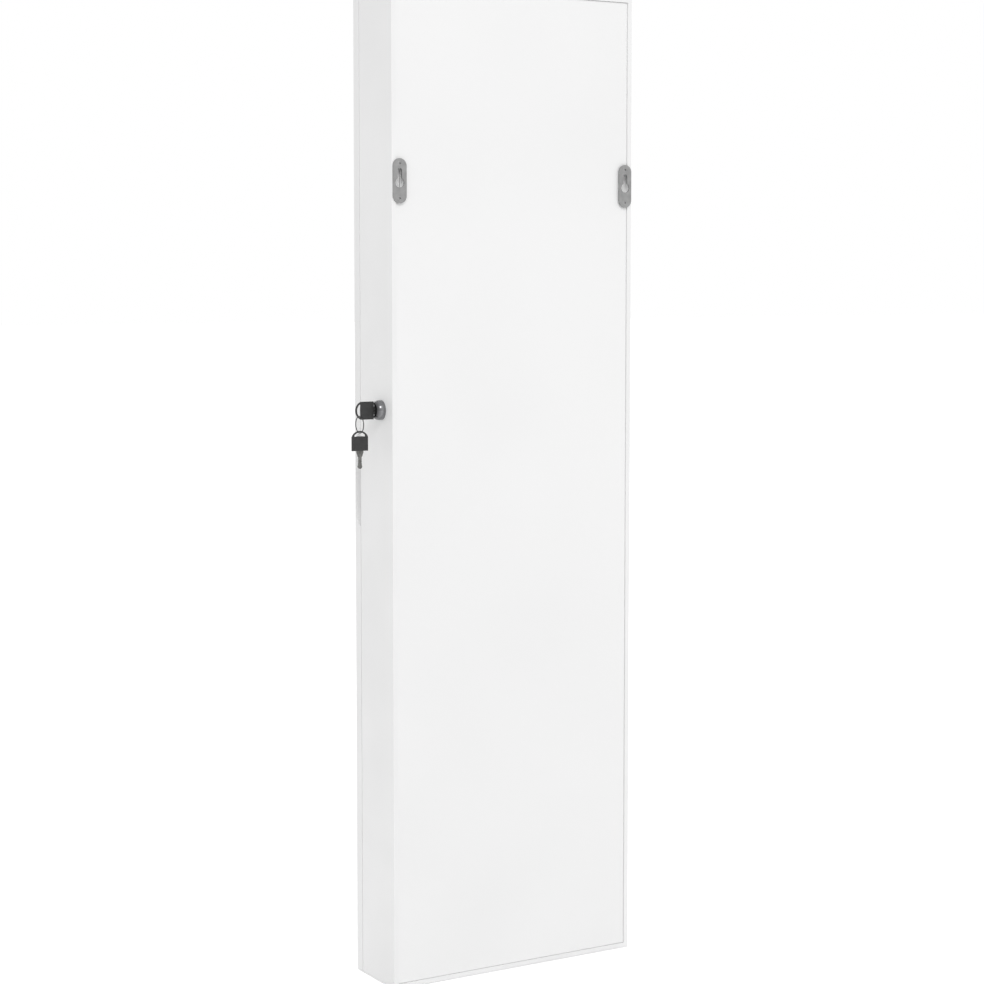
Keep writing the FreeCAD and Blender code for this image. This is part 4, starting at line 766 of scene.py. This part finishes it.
class CABINET_OT_stage(bpy.types.Operator):
    """Pale floor, even sky, two soft lamps and the camera"""
    bl_idname = "cabinet.stage"
    bl_label = "Studio"

    def execute(self, context):
        studio = context.scene.cabinet_studio
        self.floor(studio)
        self.sky(context.scene, studio)
        self.lamp("KeyLamp", KEY_LAMP_AT, studio.key_power)
        self.lamp("FrontLamp", FRONT_LAMP_AT, studio.front_power)
        self.camera(context.scene, studio)
        context.scene.view_settings.view_transform = "Standard"
        return {"FINISHED"}

    @staticmethod
    def seen(tree):
        """1 for a ray that shows the background: from the camera, or through metal or glass."""
        path = add_node(tree, "ShaderNodeLightPath")
        gloss = add_node(tree, "ShaderNodeMath", {0: path.outputs["Is Camera Ray"],
                                                  1: path.outputs["Is Glossy Ray"]}, operation="MAXIMUM")
        return add_node(tree, "ShaderNodeMath", {0: gloss.outputs["Value"],
                                                 1: path.outputs["Is Transmission Ray"]},
                        operation="MAXIMUM").outputs["Value"]

    def floor(self, studio):
        low, high = CAD_BOX
        mesh = bpy.data.meshes.new("Floor")
        half = studio.floor_size / 2
        corners = [(x * half, y * half, low.z - FLOOR_GAP) for x, y in SQUARE]
        mesh.from_pydata(corners, [], [(0, 1, 2, 3)])
        floor = bpy.data.objects.new("Floor", mesh)
        bpy.context.scene.collection.objects.link(floor)
        material, tree, shader = start_material("matt white floor", Base_Color=linear("#E8E8E8"),
                                                Roughness=0.9, Specular_IOR_Level=0.0)
        glow = add_node(tree, "ShaderNodeEmission", {"Color": (1, 1, 1, 1)})
        strength = add_node(tree, "ShaderNodeMath", {0: self.seen(tree), 1: FLOOR_GLOW},
                            operation="MULTIPLY")
        tree.links.new(strength.outputs["Value"], glow.inputs["Strength"])
        both = add_node(tree, "ShaderNodeAddShader", {0: shader.outputs["BSDF"],
                                                      1: glow.outputs["Emission"]})
        tree.links.new(both.outputs["Shader"], tree.nodes["Material Output"].inputs["Surface"])
        mesh.materials.append(material)

    def sky(self, scene, studio):
        world = bpy.data.worlds.new("Studio")
        world.use_nodes = True
        tree = world.node_tree
        tree.nodes.clear()
        even = add_node(tree, "ShaderNodeBackground", {"Color": (1, 1, 1, 1), "Strength": studio.sky})
        white = add_node(tree, "ShaderNodeBackground", {"Color": (1, 1, 1, 1), "Strength": 1.0})
        either = add_node(tree, "ShaderNodeMixShader", {0: self.seen(tree), 1: even.outputs["Background"],
                                                        2: white.outputs["Background"]})
        add_node(tree, "ShaderNodeOutputWorld", {"Surface": either.outputs["Shader"]})
        scene.world = world

    def lamp(self, name, place, power):
        light = bpy.data.lights.new(name, "AREA")
        light.energy = power
        light.shape = "SQUARE"
        light.size = LAMP_SIDE
        lamp = bpy.data.objects.new(name, light)
        lamp.location = place
        middle = (CAD_BOX[0] + CAD_BOX[1]) / 2
        lamp.rotation_mode = "QUATERNION"
        lamp.rotation_quaternion = (middle - Vector(place)).to_track_quat("-Z", "Y")
        bpy.context.scene.collection.objects.link(lamp)

    def camera(self, scene, studio):
        lens = bpy.data.cameras.new("Camera")
        lens.sensor_width = SENSOR
        lens.lens = studio.lens
        lens.shift_y = studio.rise
        lens.clip_start = NEAREST_SEEN
        camera = bpy.data.objects.new("Camera", lens)
        camera.location = studio.eye
        look = Vector((-math.sin(studio.yaw) * math.cos(studio.pitch),
                       -math.cos(studio.yaw) * math.cos(studio.pitch), -math.sin(studio.pitch)))
        camera.rotation_mode = "QUATERNION"
        camera.rotation_quaternion = look.to_track_quat("-Z", "Y")
        scene.collection.objects.link(camera)
        scene.camera = camera


class CABINET_PT_sidebar(bpy.types.Panel):
    """Buttons for the cabinet's pieces and its studio"""
    bl_label = "Jewelry Cabinet"
    bl_idname = "CABINET_PT_sidebar"
    bl_space_type = "VIEW_3D"
    bl_region_type = "UI"
    bl_category = "Cabinet"

    def draw(self, context):
        layout = self.layout
        for step in STEPS:
            layout.operator(step.bl_idname)
        scene = context.scene
        for group in (scene.cabinet_colours, scene.cabinet_soft, scene.cabinet_studio):
            box = layout.box()
            for name in group.__annotations__:
                box.prop(group, name)


STEPS = (CABINET_OT_boards, CABINET_OT_mirror, CABINET_OT_velvet, CABINET_OT_ring_rolls,
         CABINET_OT_fittings, CABINET_OT_metalwork, CABINET_OT_lock, CABINET_OT_keys, CABINET_OT_stage)
CLASSES = (CabinetColours, CabinetSoft, CabinetStudio) + STEPS + (CABINET_PT_sidebar,)


def register():
    for item in CLASSES:
        bpy.utils.register_class(item)
    bpy.types.Scene.cabinet_colours = PointerProperty(type=CabinetColours)
    bpy.types.Scene.cabinet_soft = PointerProperty(type=CabinetSoft)
    bpy.types.Scene.cabinet_studio = PointerProperty(type=CabinetStudio)


def unregister():
    del bpy.types.Scene.cabinet_studio
    del bpy.types.Scene.cabinet_soft
    del bpy.types.Scene.cabinet_colours
    for item in reversed(CLASSES):
        bpy.utils.unregister_class(item)


def main():
    register()
    for step in STEPS:
        group, name = step.bl_idname.split(".")
        getattr(getattr(bpy.ops, group), name)()


if __name__ == "__main__":
    main()
